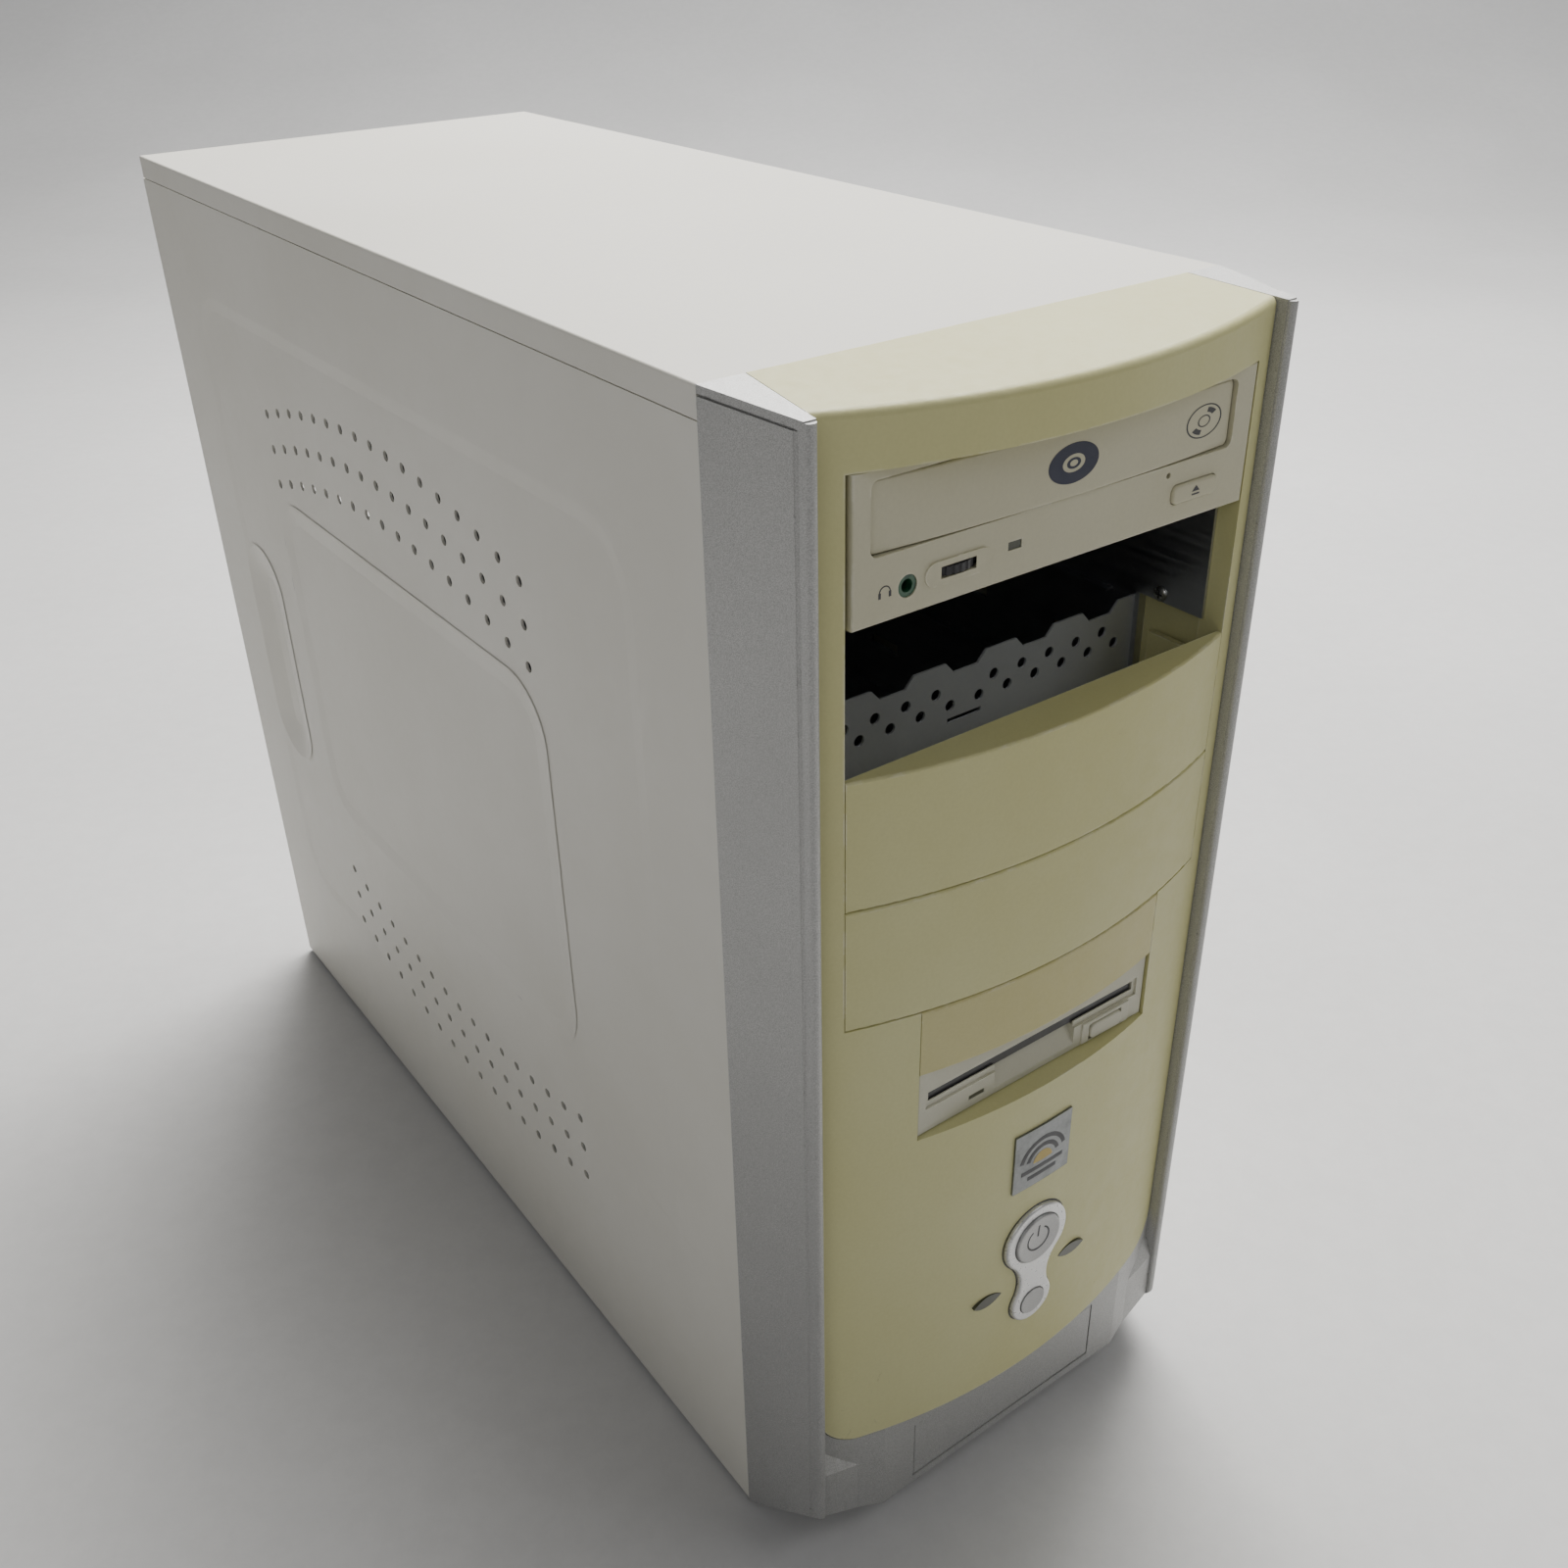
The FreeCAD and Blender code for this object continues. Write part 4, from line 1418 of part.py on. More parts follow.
make_key("floppy_eject_button", ("fkey_left", "fkey_right"), "-floppy_face - 1.4", "-floppy_face + 9",
         ("fkey_low", "fkey_high"), 0.6)
make_hard_disk()
make_supply()
make_supply_board()
make_fan_frames()
make_rotor("case_fan_rotor", "y",
           (dim("case_fan_x"), dim("case_depth") - dim("metal") - dim("fan_thick") + 0.6,
            dim("case_fan_z")), 20, 7)
make_rotor("psu_fan_rotor", "y",
           (dim("psu_fan_x"), dim("case_depth") - 2 * dim("metal") - dim("fan_thick") + 0.6,
                                  (dim("psu_low") + dim("psu_high")) / 2), 20, 7)
make_rotor("cpu_fan_rotor", "x", (dim("sink_low_x") - dim("cpu_fan_thick") + 0.6, dim("cpu_y"),
                                  dim("cpu_z")), 10.5, 9)
make_guards()
make_inlet()
make_rocker()
make_selector()
make_board()
make_sockets()
make_memory()
make_cpu_cooler()
make_ports()
make_io_shield()
make_slot_covers()
make_graphics_card()

# ---------------------------------------------------------------- check and write
doc.recompute()
for item in doc.Objects:
    bad = [word for word in item.State if word in ("Invalid", "Error")]
    if bad:
        raise RuntimeError(f"{item.Name} failed: {bad}")
os.makedirs("parts", exist_ok=True)
for item in PIECES:
    shape = item.Shape
    if shape.isNull() or not shape.isValid() or not shape.Solids:
        raise RuntimeError(f"{item.Label} has no valid solid")
    shape.exportStep(f"parts/{item.Label}.step")
limits = FreeCAD.BoundBox()
for item in PIECES:
    limits.add(item.Shape.BoundBox)
print(len(PIECES), "pieces", limits)
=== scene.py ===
import math

import bmesh
import bpy
from mathutils import Matrix, Vector
from mathutils.bvhtree import BVHTree


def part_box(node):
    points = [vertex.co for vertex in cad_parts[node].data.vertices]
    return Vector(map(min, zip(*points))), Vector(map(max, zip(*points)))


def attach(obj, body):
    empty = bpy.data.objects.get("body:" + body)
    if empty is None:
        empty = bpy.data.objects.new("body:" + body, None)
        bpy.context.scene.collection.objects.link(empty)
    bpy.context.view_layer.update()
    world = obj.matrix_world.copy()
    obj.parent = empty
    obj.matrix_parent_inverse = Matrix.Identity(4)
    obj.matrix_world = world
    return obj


# Looks of the desktop computer tower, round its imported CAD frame. All lengths are in metres.
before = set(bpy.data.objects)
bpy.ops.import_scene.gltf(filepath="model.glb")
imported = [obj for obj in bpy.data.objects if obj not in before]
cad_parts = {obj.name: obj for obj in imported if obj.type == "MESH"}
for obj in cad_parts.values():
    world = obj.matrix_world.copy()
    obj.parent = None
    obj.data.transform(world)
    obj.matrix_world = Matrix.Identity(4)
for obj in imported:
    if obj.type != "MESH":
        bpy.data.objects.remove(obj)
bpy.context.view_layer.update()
MM = 0.001
PROUD = 0.12 * MM         # how far a detail stands out of the solid under it
MARK_LIFT = 0.00006       # how far a printed mark's face stands off the surface
MARK_DEPTH = 0.00012      # thickness of a printed mark, which sinks its back into the surface


# ---------------------------------------------------------------- shader building
class Graph:
    """A material's node tree, with short calls for the nodes used here."""

    def __init__(self, name):
        self.material = bpy.data.materials.new(name)
        self.material.use_nodes = True
        self.nodes = self.material.node_tree.nodes
        self.links = self.material.node_tree.links
        self.shader = self.nodes["Principled BSDF"]
        self.place = self.nodes.new("ShaderNodeTexCoord").outputs["Object"]

    def put(self, socket, value):
        """Link a socket or set a constant."""
        if isinstance(value, bpy.types.NodeSocket):
            self.links.new(value, socket)
        else:
            socket.default_value = value

    def noise(self, scale, detail=3.0, rough=0.5, stretch=None, distort=0.0):
        """Noise from 0 to 1; scale is in features per metre, stretch an (x, y, z) factor."""
        node = self.nodes.new("ShaderNodeTexNoise")
        node.inputs["Scale"].default_value = scale
        node.inputs["Detail"].default_value = detail
        node.inputs["Roughness"].default_value = rough
        node.inputs["Distortion"].default_value = distort
        self.put(node.inputs["Vector"], self.stretched(stretch))
        return node.outputs["Fac"]

    def cells(self, scale, feature="F1"):
        """Scattered points; the node's Distance runs to the nearest and its Color differs by point."""
        node = self.nodes.new("ShaderNodeTexVoronoi")
        node.feature = feature
        node.inputs["Scale"].default_value = scale
        self.put(node.inputs["Vector"], self.place)
        return node

    def stretched(self, stretch):
        """Object coordinates, scaled by stretch."""
        if stretch is None:
            return self.place
        node = self.nodes.new("ShaderNodeMapping")
        node.inputs["Scale"].default_value = stretch
        self.put(node.inputs["Vector"], self.place)
        return node.outputs["Vector"]

    def spot(self, centre, near, far):
        """1 within near metres of a point, fading to 0 at far metres."""
        node = self.nodes.new("ShaderNodeVectorMath")
        node.operation = "DISTANCE"
        self.put(node.inputs[0], self.place)
        node.inputs[1].default_value = centre
        return self.band(node.outputs["Value"], near, far, 1.0, 0.0)

    def math(self, kind, a, b=0.0):
        """One step of arithmetic; kind is the node's name for it."""
        node = self.nodes.new("ShaderNodeMath")
        node.operation = kind
        self.put(node.inputs[0], a)
        self.put(node.inputs[1], b)
        return node.outputs[0]

    def band(self, value, low, high, start=0.0, end=1.0):
        """Map a value from low..high to start..end, held at both ends."""
        node = self.nodes.new("ShaderNodeMapRange")
        node.interpolation_type = "SMOOTHSTEP"
        for socket, number in zip(node.inputs[1:5], (low, high, start, end)):
            socket.default_value = number
        self.put(node.inputs["Value"], value)
        return node.outputs["Result"]

    def mix(self, share, first, second, kind="MIX"):
        """Blend two colours by share."""
        node = self.nodes.new("ShaderNodeMix")
        node.data_type = "RGBA"
        node.blend_type = kind
        self.put(node.inputs["Factor"], share)
        self.put(node.inputs["A"], (*first, 1.0) if isinstance(first, tuple) else first)
        self.put(node.inputs["B"], (*second, 1.0) if isinstance(second, tuple) else second)
        return node.outputs["Result"]

    def edges(self, radius):
        """1 near a sharp edge and 0 away from it."""
        bevel = self.nodes.new("ShaderNodeBevel")
        bevel.samples = 3
        bevel.inputs["Radius"].default_value = radius
        geometry = self.nodes.new("ShaderNodeNewGeometry")
        dot = self.nodes.new("ShaderNodeVectorMath")
        dot.operation = "DOT_PRODUCT"
        self.put(dot.inputs[0], bevel.outputs["Normal"])
        self.put(dot.inputs[1], geometry.outputs["Normal"])
        flat, sharp = 0.999, 0.93
        return self.band(dot.outputs["Value"], flat, sharp)

    def up(self):
        """How far the surface faces upwards, from 0 to 1."""
        geometry = self.nodes.new("ShaderNodeNewGeometry")
        split = self.nodes.new("ShaderNodeSeparateXYZ")
        self.put(split.inputs["Vector"], geometry.outputs["Normal"])
        return self.band(split.outputs["Z"], 0.2, 0.9)

    def bump(self, height, depth, strength=1.0):
        """Small relief, depth in metres, into the shader's normal."""
        node = self.nodes.new("ShaderNodeBump")
        node.inputs["Strength"].default_value = strength
        node.inputs["Distance"].default_value = depth
        self.put(node.inputs["Height"], height)
        self.put(self.shader.inputs["Normal"], node.outputs["Normal"])

    def specks(self, tone, density, size, patches, cover, share, colour):
        """Small specks of colour over tone.

        density and size place and size them, and the noise patches, between the two values of cover,
        keeps them to some parts of the surface."""
        speck = self.band(self.cells(density).outputs["Distance"], *size)
        keep = self.band(self.noise(patches, 2), *cover)
        return self.mix(self.math("MULTIPLY", speck, self.math("MULTIPLY", keep, share)), tone, colour)

    def worn_edges(self, tone, radius, patches, cover, share, colour):
        """Edges rubbed to colour in patches, out to radius metres from the edge; with a pale colour this
        also paints a highlight there.
        """
        worn = self.math("MULTIPLY", self.edges(radius), self.band(self.noise(patches, 4, 0.7), *cover))
        return self.mix(self.math("MULTIPLY", worn, share), tone, colour)

    def set(self, **sockets):
        """Set the shader's sockets; a word's underscores stand for spaces."""
        for word, value in sockets.items():
            socket = self.shader.inputs[word.replace("_", " ")]
            self.put(socket, (*value, 1.0) if isinstance(value, tuple) else value)


def case_paint():
    """Off-white powder paint on sheet steel, with a fine orange-peel and a few marks."""
    g = Graph("case_paint")
    cloud = g.band(g.noise(9, 4, 0.6), 0.3, 0.7)
    tone = g.mix(cloud, (0.735, 0.715, 0.640), (0.775, 0.757, 0.690))
    dust = g.math("MULTIPLY", g.up(), g.band(g.noise(18, 5, 0.7), 0.35, 0.75, 0.0, 0.22))
    tone = g.mix(dust, tone, (0.62, 0.60, 0.54))
    tone = g.specks(tone, 95, (0.022, 0.012), 24, (0.60, 0.64), 0.75, (0.25, 0.22, 0.19))
    smear = g.band(g.noise(7, 5, 0.7, (1, 0.35, 2.4), 1.2), 0.62, 0.8, 0.0, 0.28)
    tone = g.mix(smear, tone, (0.58, 0.55, 0.47))
    tone = g.worn_edges(tone, 0.0006, 60, (0.6, 0.68), 0.6, (0.42, 0.41, 0.40))
    g.set(Base_Color=tone, Roughness=g.band(g.noise(300, 3), 0.2, 0.8, 0.42, 0.54), Specular_IOR_Level=0.4)
    g.bump(g.noise(1500, 2, 0.6), 0.00006, 0.6)
    return g.material


def aged_plastic(name, fresh, yellowed, grain=0.5, scuffs=()):
    """Cream moulded plastic that has yellowed in clouds, with spark-eroded grain, handling marks, and pale
    edges that are partly wear and partly a painted highlight.

    scuffs is a list of (centre, radius) where dark rub marks gather."""
    g = Graph(name)
    cloud = g.band(g.noise(6.5, 4, 0.55, (1, 1, 0.7)), 0.3, 0.7)
    tone = g.mix(cloud, fresh, yellowed)
    fine = g.band(g.noise(900, 2), 0.2, 0.8)
    tone = g.mix(g.math("MULTIPLY", fine, 0.10), tone, tuple(c * 0.65 for c in yellowed))
    smear = g.band(g.noise(34, 5, 0.75, (0.6, 1, 1), 0.8), 0.66, 0.84, 0.0, 0.34)
    tone = g.mix(smear, tone, (0.38, 0.32, 0.17))
    tone = g.specks(tone, 150, (0.035, 0.02), 30, (0.63, 0.66), 0.8, (0.12, 0.10, 0.07))
    for centre, radius in scuffs:
        near = g.spot(centre, radius * 0.3, radius)
        rubbed = g.band(g.noise(160, 5, 0.8, (1, 1, 0.35), 1.5), 0.60, 0.72, 0.0, 0.30)
        tone = g.mix(g.math("MULTIPLY", near, rubbed), tone, (0.13, 0.11, 0.07))
    # Pale edges: partly wear, partly a painted highlight.
    tone = g.worn_edges(tone, 0.0008, 70, (0.46, 0.58), 0.55, (0.86, 0.84, 0.74))
    g.set(Base_Color=tone, Roughness=g.band(g.noise(220, 3), 0.2, 0.8, 0.42, 0.56), Specular_IOR_Level=0.38)
    g.bump(g.noise(2600, 2, 0.6), 0.00005, grain)
    return g.material


def silver_plastic(name, colour, rough, shine=0.35, grain=0.5, wear=1.0, stains=()):
    """Silver paint with fine flake on plastic, rubbed and chipped along its edges.

    wear scales the chips and flake; stains is a list of (centre, radius) where brown grime gathers."""
    g = Graph(name)
    flake = g.band(g.noise(3400, 1), 0.32, 0.68)
    spread = 0.08 + 0.13 * wear
    dull = tuple(c * (1 - spread) for c in colour)
    glint = tuple(min(1.0, c * (1 + spread)) for c in colour)
    tone = g.mix(flake, dull, glint)
    cloud = g.band(g.noise(12, 4, 0.6), 0.35, 0.75, 0.0, 0.3)
    tone = g.mix(cloud, tone, tuple(c * 0.80 for c in colour))
    scratch = g.band(g.noise(45, 6, 0.8, (1, 1, 0.12), 0.5), 0.68, 0.74, 0.0, 0.35)
    tone = g.mix(scratch, tone, tuple(c * 0.62 for c in colour))
    for centre, radius in stains:
        near = g.spot(centre, radius * 0.25, radius)
        grime = g.band(g.noise(90, 5, 0.75, (1, 1, 0.6), 1.0), 0.50, 0.72, 0.0, 0.22)
        tone = g.mix(g.math("MULTIPLY", near, grime), tone, (0.17, 0.155, 0.12))
    tone = g.worn_edges(tone, 0.0009, 85, (0.60, 0.66), wear, (0.20, 0.20, 0.19))
    tone = g.specks(tone, 120, (0.04, 0.02), 22, (0.66, 0.69), 0.8, (0.10, 0.10, 0.10))
    g.set(Base_Color=tone, Metallic=shine,
          Roughness=g.band(g.noise(500, 2), 0.2, 0.8, rough - 0.05, rough + 0.07))
    g.bump(g.noise(2300, 2, 0.65), 0.00006, grain)
    return g.material


def sheet_steel(name, colour, rough=0.36, spangle=0.10, shine=1.0):
    """Galvanised sheet: soft crystal patches, rolling lines and dull stains."""
    g = Graph(name)
    patch = g.cells(110, "SMOOTH_F1").outputs["Color"]
    grey = g.nodes.new("ShaderNodeRGBToBW")
    g.put(grey.inputs["Color"], patch)
    pale = tuple(c * (1 + spangle) for c in colour)
    dark = tuple(c * (1 - 2 * spangle) for c in colour)
    tone = g.mix(g.math("MULTIPLY", grey.outputs["Val"], spangle * 2), pale, dark)
    stain = g.band(g.noise(16, 5, 0.65), 0.55, 0.8, 0.0, 0.35)
    tone = g.mix(stain, tone, tuple(c * 0.55 for c in colour))
    rolled = g.noise(500, 2, 0.5, (1, 0.03, 1))
    g.set(Base_Color=tone, Metallic=shine, Roughness=g.band(rolled, 0.3, 0.7, rough - 0.06, rough + 0.10))
    g.bump(rolled, 0.00003, 0.4)
    return g.material


def moulded(name, colour, rough=0.45, grain=0.35, variation=0.12):
    """Plain moulded plastic with a fine grain, and a pale painted highlight along its edges in patches."""
    g = Graph(name)
    cloud = g.band(g.noise(40, 4, 0.6), 0.3, 0.75)
    lower = tuple(c * (1 - variation) for c in colour)
    upper = tuple(min(1.0, c * (1 + variation)) for c in colour)
    tone = g.mix(cloud, lower, upper)
    # pale is a painted highlight, laid along every edge in patches.
    pale = tuple(min(1.0, c * 1.5 + 0.03) for c in colour)
    edge_highlight = g.math("MULTIPLY", g.edges(0.0004), g.band(g.noise(150, 3), 0.45, 0.6, 0.0, 0.5))
    tone = g.mix(edge_highlight, tone, pale)
    g.set(Base_Color=tone, Roughness=g.band(g.noise(260, 3), 0.2, 0.8, rough - 0.06, rough + 0.08))
    g.bump(g.noise(2200, 2), 0.00004, grain)
    return g.material


def plated(name, colour, rough=0.22):
    """Bright plated metal with fine scratches."""
    g = Graph(name)
    haze = g.band(g.noise(120, 5, 0.7), 0.4, 0.75)
    tone = g.mix(haze, colour, tuple(c * 0.72 for c in colour))
    g.set(Base_Color=tone, Metallic=1.0,
          Roughness=g.band(g.noise(700, 3), 0.2, 0.8, rough - 0.05, rough + 0.12))
    g.bump(g.noise(900, 3, 0.6, (1, 1, 0.2)), 0.00002, 0.4)
    return g.material


def circuit(name, mask, copper, bracket=None):
    """Lacquered circuit board: a lattice of buried tracks under a glossy coat.

    bracket is (x, y) for a card with a steel bracket: the piece is bare steel left of x and behind y."""
    g = Graph(name)
    tracks = None
    for stretch in ((1, 0.18, 1), (1, 1, 0.18), (0.18, 1, 1)):
        field = g.noise(55, 1, 0.4, stretch)
        lines = g.band(g.math("PINGPONG", field, 0.035), 0.006, 0.012, 1.0, 0.0)
        tracks = lines if tracks is None else g.math("MAXIMUM", tracks, lines)
    tone = g.mix(g.math("MULTIPLY", tracks, 0.55), mask, copper)
    via = g.band(g.cells(330).outputs["Distance"], 0.16, 0.11)
    sparse = g.band(g.noise(90, 2), 0.5, 0.55)
    tone = g.mix(g.math("MULTIPLY", via, sparse), tone, (0.55, 0.52, 0.42))
    if bracket is None:
        g.set(Base_Color=tone, Roughness=0.32, Coat_Weight=0.4, Coat_Roughness=0.15)
    else:
        split = g.nodes.new("ShaderNodeSeparateXYZ")
        g.put(split.inputs["Vector"], g.place)
        x, y = bracket
        blend = 0.2 * MM
        tab = g.band(split.outputs["X"], x, x - blend)
        steel = g.math("MAXIMUM", tab, g.band(split.outputs["Y"], y, y + blend))
        g.set(Base_Color=g.mix(steel, tone, (0.52, 0.53, 0.55)), Metallic=steel, Roughness=0.34)
    g.bump(tracks, 0.00004, 0.5)
    return g.material


def rubber():
    """Matt black rubber."""
    g = Graph("foot_rubber")
    tone = g.mix(g.band(g.noise(90, 4), 0.3, 0.8), (0.018, 0.018, 0.018), (0.05, 0.048, 0.045))
    g.set(Base_Color=tone, Roughness=0.82)
    g.bump(g.noise(1800, 3), 0.00008, 0.6)
    return g.material


def lens(name, colour):
    """Tinted clear plastic over a dark cavity."""
    g = Graph(name)
    tone = g.mix(g.band(g.noise(300, 2), 0.3, 0.7), tuple(c * 0.8 for c in colour), colour)
    g.set(Base_Color=tone, Roughness=0.30, IOR=1.49, Coat_Weight=0.2)
    g.bump(g.noise(1500, 2), 0.00003, 0.4)
    return g.material


# ---------------------------------------------------------------- finishes by CAD node
def paint_nodes():
    """Give every carried-over CAD node its finish."""
    paint = case_paint()
    steel = sheet_steel("bare_steel", (0.50, 0.51, 0.53))
    shield = sheet_steel("shield_steel", (0.62, 0.64, 0.65), rough=0.50, spangle=0.08, shine=0.45)
    tab_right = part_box("graphics_card")[0].x + 1.5 * MM
    plate_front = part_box("chassis_rear")[0].y - 2.2 * MM
    frame_low, frame_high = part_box("bezel_frame")
    face_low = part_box("bezel_fascia")[0]
    low_left = (face_low.x, face_low.y, face_low.z + 0.02)
    corner = (frame_low.x + 0.006, frame_high.y - 0.03, frame_low.z + 0.03)
    cream = aged_plastic("cream_plastic", (0.645, 0.630, 0.345), (0.590, 0.562, 0.262),
                         scuffs=((low_left, 0.045),))
    small = aged_plastic("small_cover_plastic", (0.605, 0.562, 0.290), (0.550, 0.500, 0.220))
    drive = aged_plastic("drive_plastic", (0.600, 0.582, 0.445), (0.560, 0.532, 0.380), grain=0.45)
    floppy = aged_plastic("floppy_plastic", (0.600, 0.590, 0.490), (0.550, 0.535, 0.420), grain=0.4)
    silver = silver_plastic("silver_plastic", (0.445, 0.445, 0.435), rough=0.42, stains=((corner, 0.045),))
    surround = silver_plastic("button_silver", (0.70, 0.70, 0.695), rough=0.30, shine=0.55, grain=0.15,
                              wear=0.0)
    satin = silver_plastic("key_silver", (0.40, 0.40, 0.395), rough=0.34, shine=0.5, grain=0.2, wear=0.1)
    black = moulded("black_plastic", (0.028, 0.028, 0.030), rough=0.42)
    green = circuit("circuit_green", (0.012, 0.085, 0.035), (0.05, 0.19, 0.07))
    deep_green = circuit("drive_circuit", (0.010, 0.06, 0.03), (0.04, 0.15, 0.07))
    bright = plated("bright_metal", (0.70, 0.70, 0.71))
    alloy = plated("light_alloy", (0.60, 0.61, 0.62), rough=0.34)
    finishes = {
        paint: ("top_cover", "left_panel", "right_panel"),
        steel: ("chassis_base", "chassis_front", "chassis_rear", "motherboard_tray", "drive_cage_upper",
                "drive_cage_lower", "dvd_case", "floppy_case", "psu_case", "io_shield", "slot_covers"),
        shield: ("bay_shields",),
        bright: ("screws_and_standoffs", "fan_guards", "left_thumbscrews", "right_thumbscrews", "io_ports"),
        rubber(): ("feet",),
        silver: ("bezel_frame", "port_door"),
        cream: ("bezel_fascia", "bay_cover_upper", "bay_cover_lower"),
        small: ("bay_cover_small",),
        surround: ("button_bezel",),
        satin: ("power_button", "reset_button"),
        plated("badge_metal", (0.24, 0.25, 0.25), rough=0.38): ("badge",),
        lens("lamp_lens", (0.060, 0.065, 0.040)): ("indicator_lenses",),
        drive: ("dvd_bezel", "dvd_tray_front", "dvd_eject_button"),
        floppy: ("floppy_bezel", "floppy_eject_button"),
        black: ("port_panel", "dvd_tray", "dvd_volume_wheel", "floppy_flap", "fan_frames", "case_fan_rotor",
                "psu_fan_rotor", "cpu_fan_rotor", "psu_inlet", "psu_switch_housing", "psu_rocker",
                "board_sockets"),
        moulded("selector_red", (0.45, 0.03, 0.02), rough=0.3): ("psu_voltage_selector",),
        green: ("motherboard", "memory_modules", "switch_board", "port_board"),
        circuit("card_circuit", (0.012, 0.085, 0.035), (0.05, 0.19, 0.07),
                bracket=(tab_right, plate_front)): ("graphics_card",),
        deep_green: ("dvd_mechanism", "psu_circuit", "hard_disk_board"),
        alloy: ("hard_disk", "cpu_heatsink"),
    }
    for material, names in finishes.items():
        for name in names:
            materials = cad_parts[name].data.materials
            if not materials:
                materials.append(material)
            for slot in range(len(materials)):
                materials[slot] = material


# ---------------------------------------------------------------- detail pieces
class Piece:
    """A closed mesh built in the row frame, in metres."""

    def __init__(self, name):
        self.name = name
        self.mesh = bmesh.new()

    def plate(self, place, us, vs, depth):
        """A thin curved plate: place(u, v) is its outer face and depth its thickness as a vector."""
        front, back = ([[self.mesh.verts.new(place(u, v) + push) for v in vs] for u in us]
                       for push in (Vector(), depth))
        for layer in (front, back):
            for low, high in zip(layer, layer[1:]):
                for n in range(len(vs) - 1):
                    self.mesh.faces.new((low[n], low[n + 1], high[n + 1], high[n]))
        around = list(zip(rim(front), rim(back)))
        for (a, b), (c, d) in zip(around, around[1:] + around[:1]):
            self.mesh.faces.new((a, b, d, c))

    def block(self, low, high, soft):
        """A block between two corners, its edges rounded by soft."""
        low, high = Vector(low), Vector(high)
        size = high - low
        place = Matrix.Translation((low + high) / 2) @ Matrix.Diagonal((*size, 1))
        verts = bmesh.ops.create_cube(self.mesh, size=1, matrix=place)["verts"]
        edges = list(dict.fromkeys(edge for vert in verts for edge in vert.link_edges))
        soft = min(soft, min(size) * 0.4)
        bmesh.ops.bevel(self.mesh, geom=edges, offset=soft, segments=2, profile=0.6, affect="EDGES")

    def turned(self, origin, axis, profile, sides=32):
        """A solid of revolution; profile is (distance along the axis, radius), closed at both ends."""
        along = {"x": Vector((1, 0, 0)), "y": Vector((0, 1, 0)), "z": Vector((0, 0, 1))}[axis]
        side = Vector((along.y, along.z, along.x))
        cross = along.cross(side)
        rings = []
        for distance, radius in profile:
            middle = Vector(origin) + along * distance
            rings.append([self.mesh.verts.new(middle + radius * (side * math.cos(a) + cross * math.sin(a)))
                          for a in (2 * math.pi * n / sides for n in range(sides))])
        for low, high in zip(rings, rings[1:]):
            for n in range(sides):
                self.mesh.faces.new((low[n - 1], low[n], high[n], high[n - 1]))
        self.mesh.faces.new(rings[0])
        self.mesh.faces.new(rings[-1])

    def hollow(self, origin, inner, outer, low, high, sides=32):
        """A flat ring about the y axis, from low to high along it."""
        corners = ((inner, low), (outer, low), (outer, high), (inner, high))
        loops = []
        for n in range(sides):
            a = 2 * math.pi * n / sides
            loops.append([self.mesh.verts.new(Vector(origin) + Vector((r * math.cos(a), y, r * math.sin(a))))
                          for r, y in corners])
        for n in range(sides):
            for c in range(4):
                self.mesh.faces.new((loops[n - 1][c - 1], loops[n - 1][c], loops[n][c], loops[n][c - 1]))

    def done(self, material, body):
        """Make the object, give it its finish and hand it to its body."""
        sharp = math.radians(32)
        bmesh.ops.recalc_face_normals(self.mesh, faces=self.mesh.faces[:])
        for face in self.mesh.faces:
            face.smooth = True
        for edge in self.mesh.edges:
            edge.smooth = edge.calc_face_angle(0.0) < sharp
        data = bpy.data.meshes.new(self.name)
        self.mesh.to_mesh(data)
        self.mesh.free()
        data.materials.append(material)
        item = bpy.data.objects.new(self.name, data)
        bpy.context.scene.collection.objects.link(item)
        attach(item, body)


def rim(layer):
    """The outline of a grid of vertices, in order."""
    near = [row[0] for row in layer]
    far = [row[-1] for row in reversed(layer[:-1])]
    return near + layer[-1][1:] + far + list(reversed(layer[0][1:-1]))


def evenly(low, high, count):
    """count + 1 even values from low to high."""
    return [low + (high - low) * n / count for n in range(count + 1)]


class Skin:
    """The front of a CAD node, for laying thin printed marks on it."""

    def __init__(self, node, lift=MARK_LIFT):
        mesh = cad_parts[node].data
        corners = [v.co for v in mesh.vertices]
        self.tree = BVHTree.FromPolygons(corners, [p.vertices for p in mesh.polygons])
        self.lift = lift

    def spot(self, x, z):
        """The point of the surface seen from the front at (x, z), lifted clear of it."""
        hit = self.tree.ray_cast(Vector((x, -1, z)), Vector((0, 1, 0)))[0]
        if hit is None:
            raise ValueError(f"no surface behind x {x:.4f}, z {z:.4f}")
        return Vector((x, hit.y - self.lift, z))

    def arc(self, piece, x, z, inner, outer, start, end, squash=1.0, count=28):
        """Part of a ring about (x, z), angles in degrees from +x; squash flattens it upright."""
        def place(angle, radius):
            a = math.radians(angle)
            return self.spot(x + radius * math.cos(a), z + radius * squash * math.sin(a))
        piece.plate(place, evenly(start, end, count), evenly(inner, outer, 4), Vector((0, MARK_DEPTH, 0)))

    def bar(self, piece, x_low, x_high, z_low, z_high, narrow=1.0):
        """An upright bar; narrow below 1 makes its top narrower than its foot."""
        middle = (x_low + x_high) / 2

        def place(x, z):
            share = (z - z_low) / (z_high - z_low)
            return self.spot(middle + (x - middle) * (1 + (narrow - 1) * share), z)
        piece.plate(place, evenly(x_low, x_high, 6), evenly(z_low, z_high, 6), Vector((0, MARK_DEPTH, 0)))


def centre(node):
    """The middle of a CAD node's box."""
    low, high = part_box(node)
    return (low + high) / 2
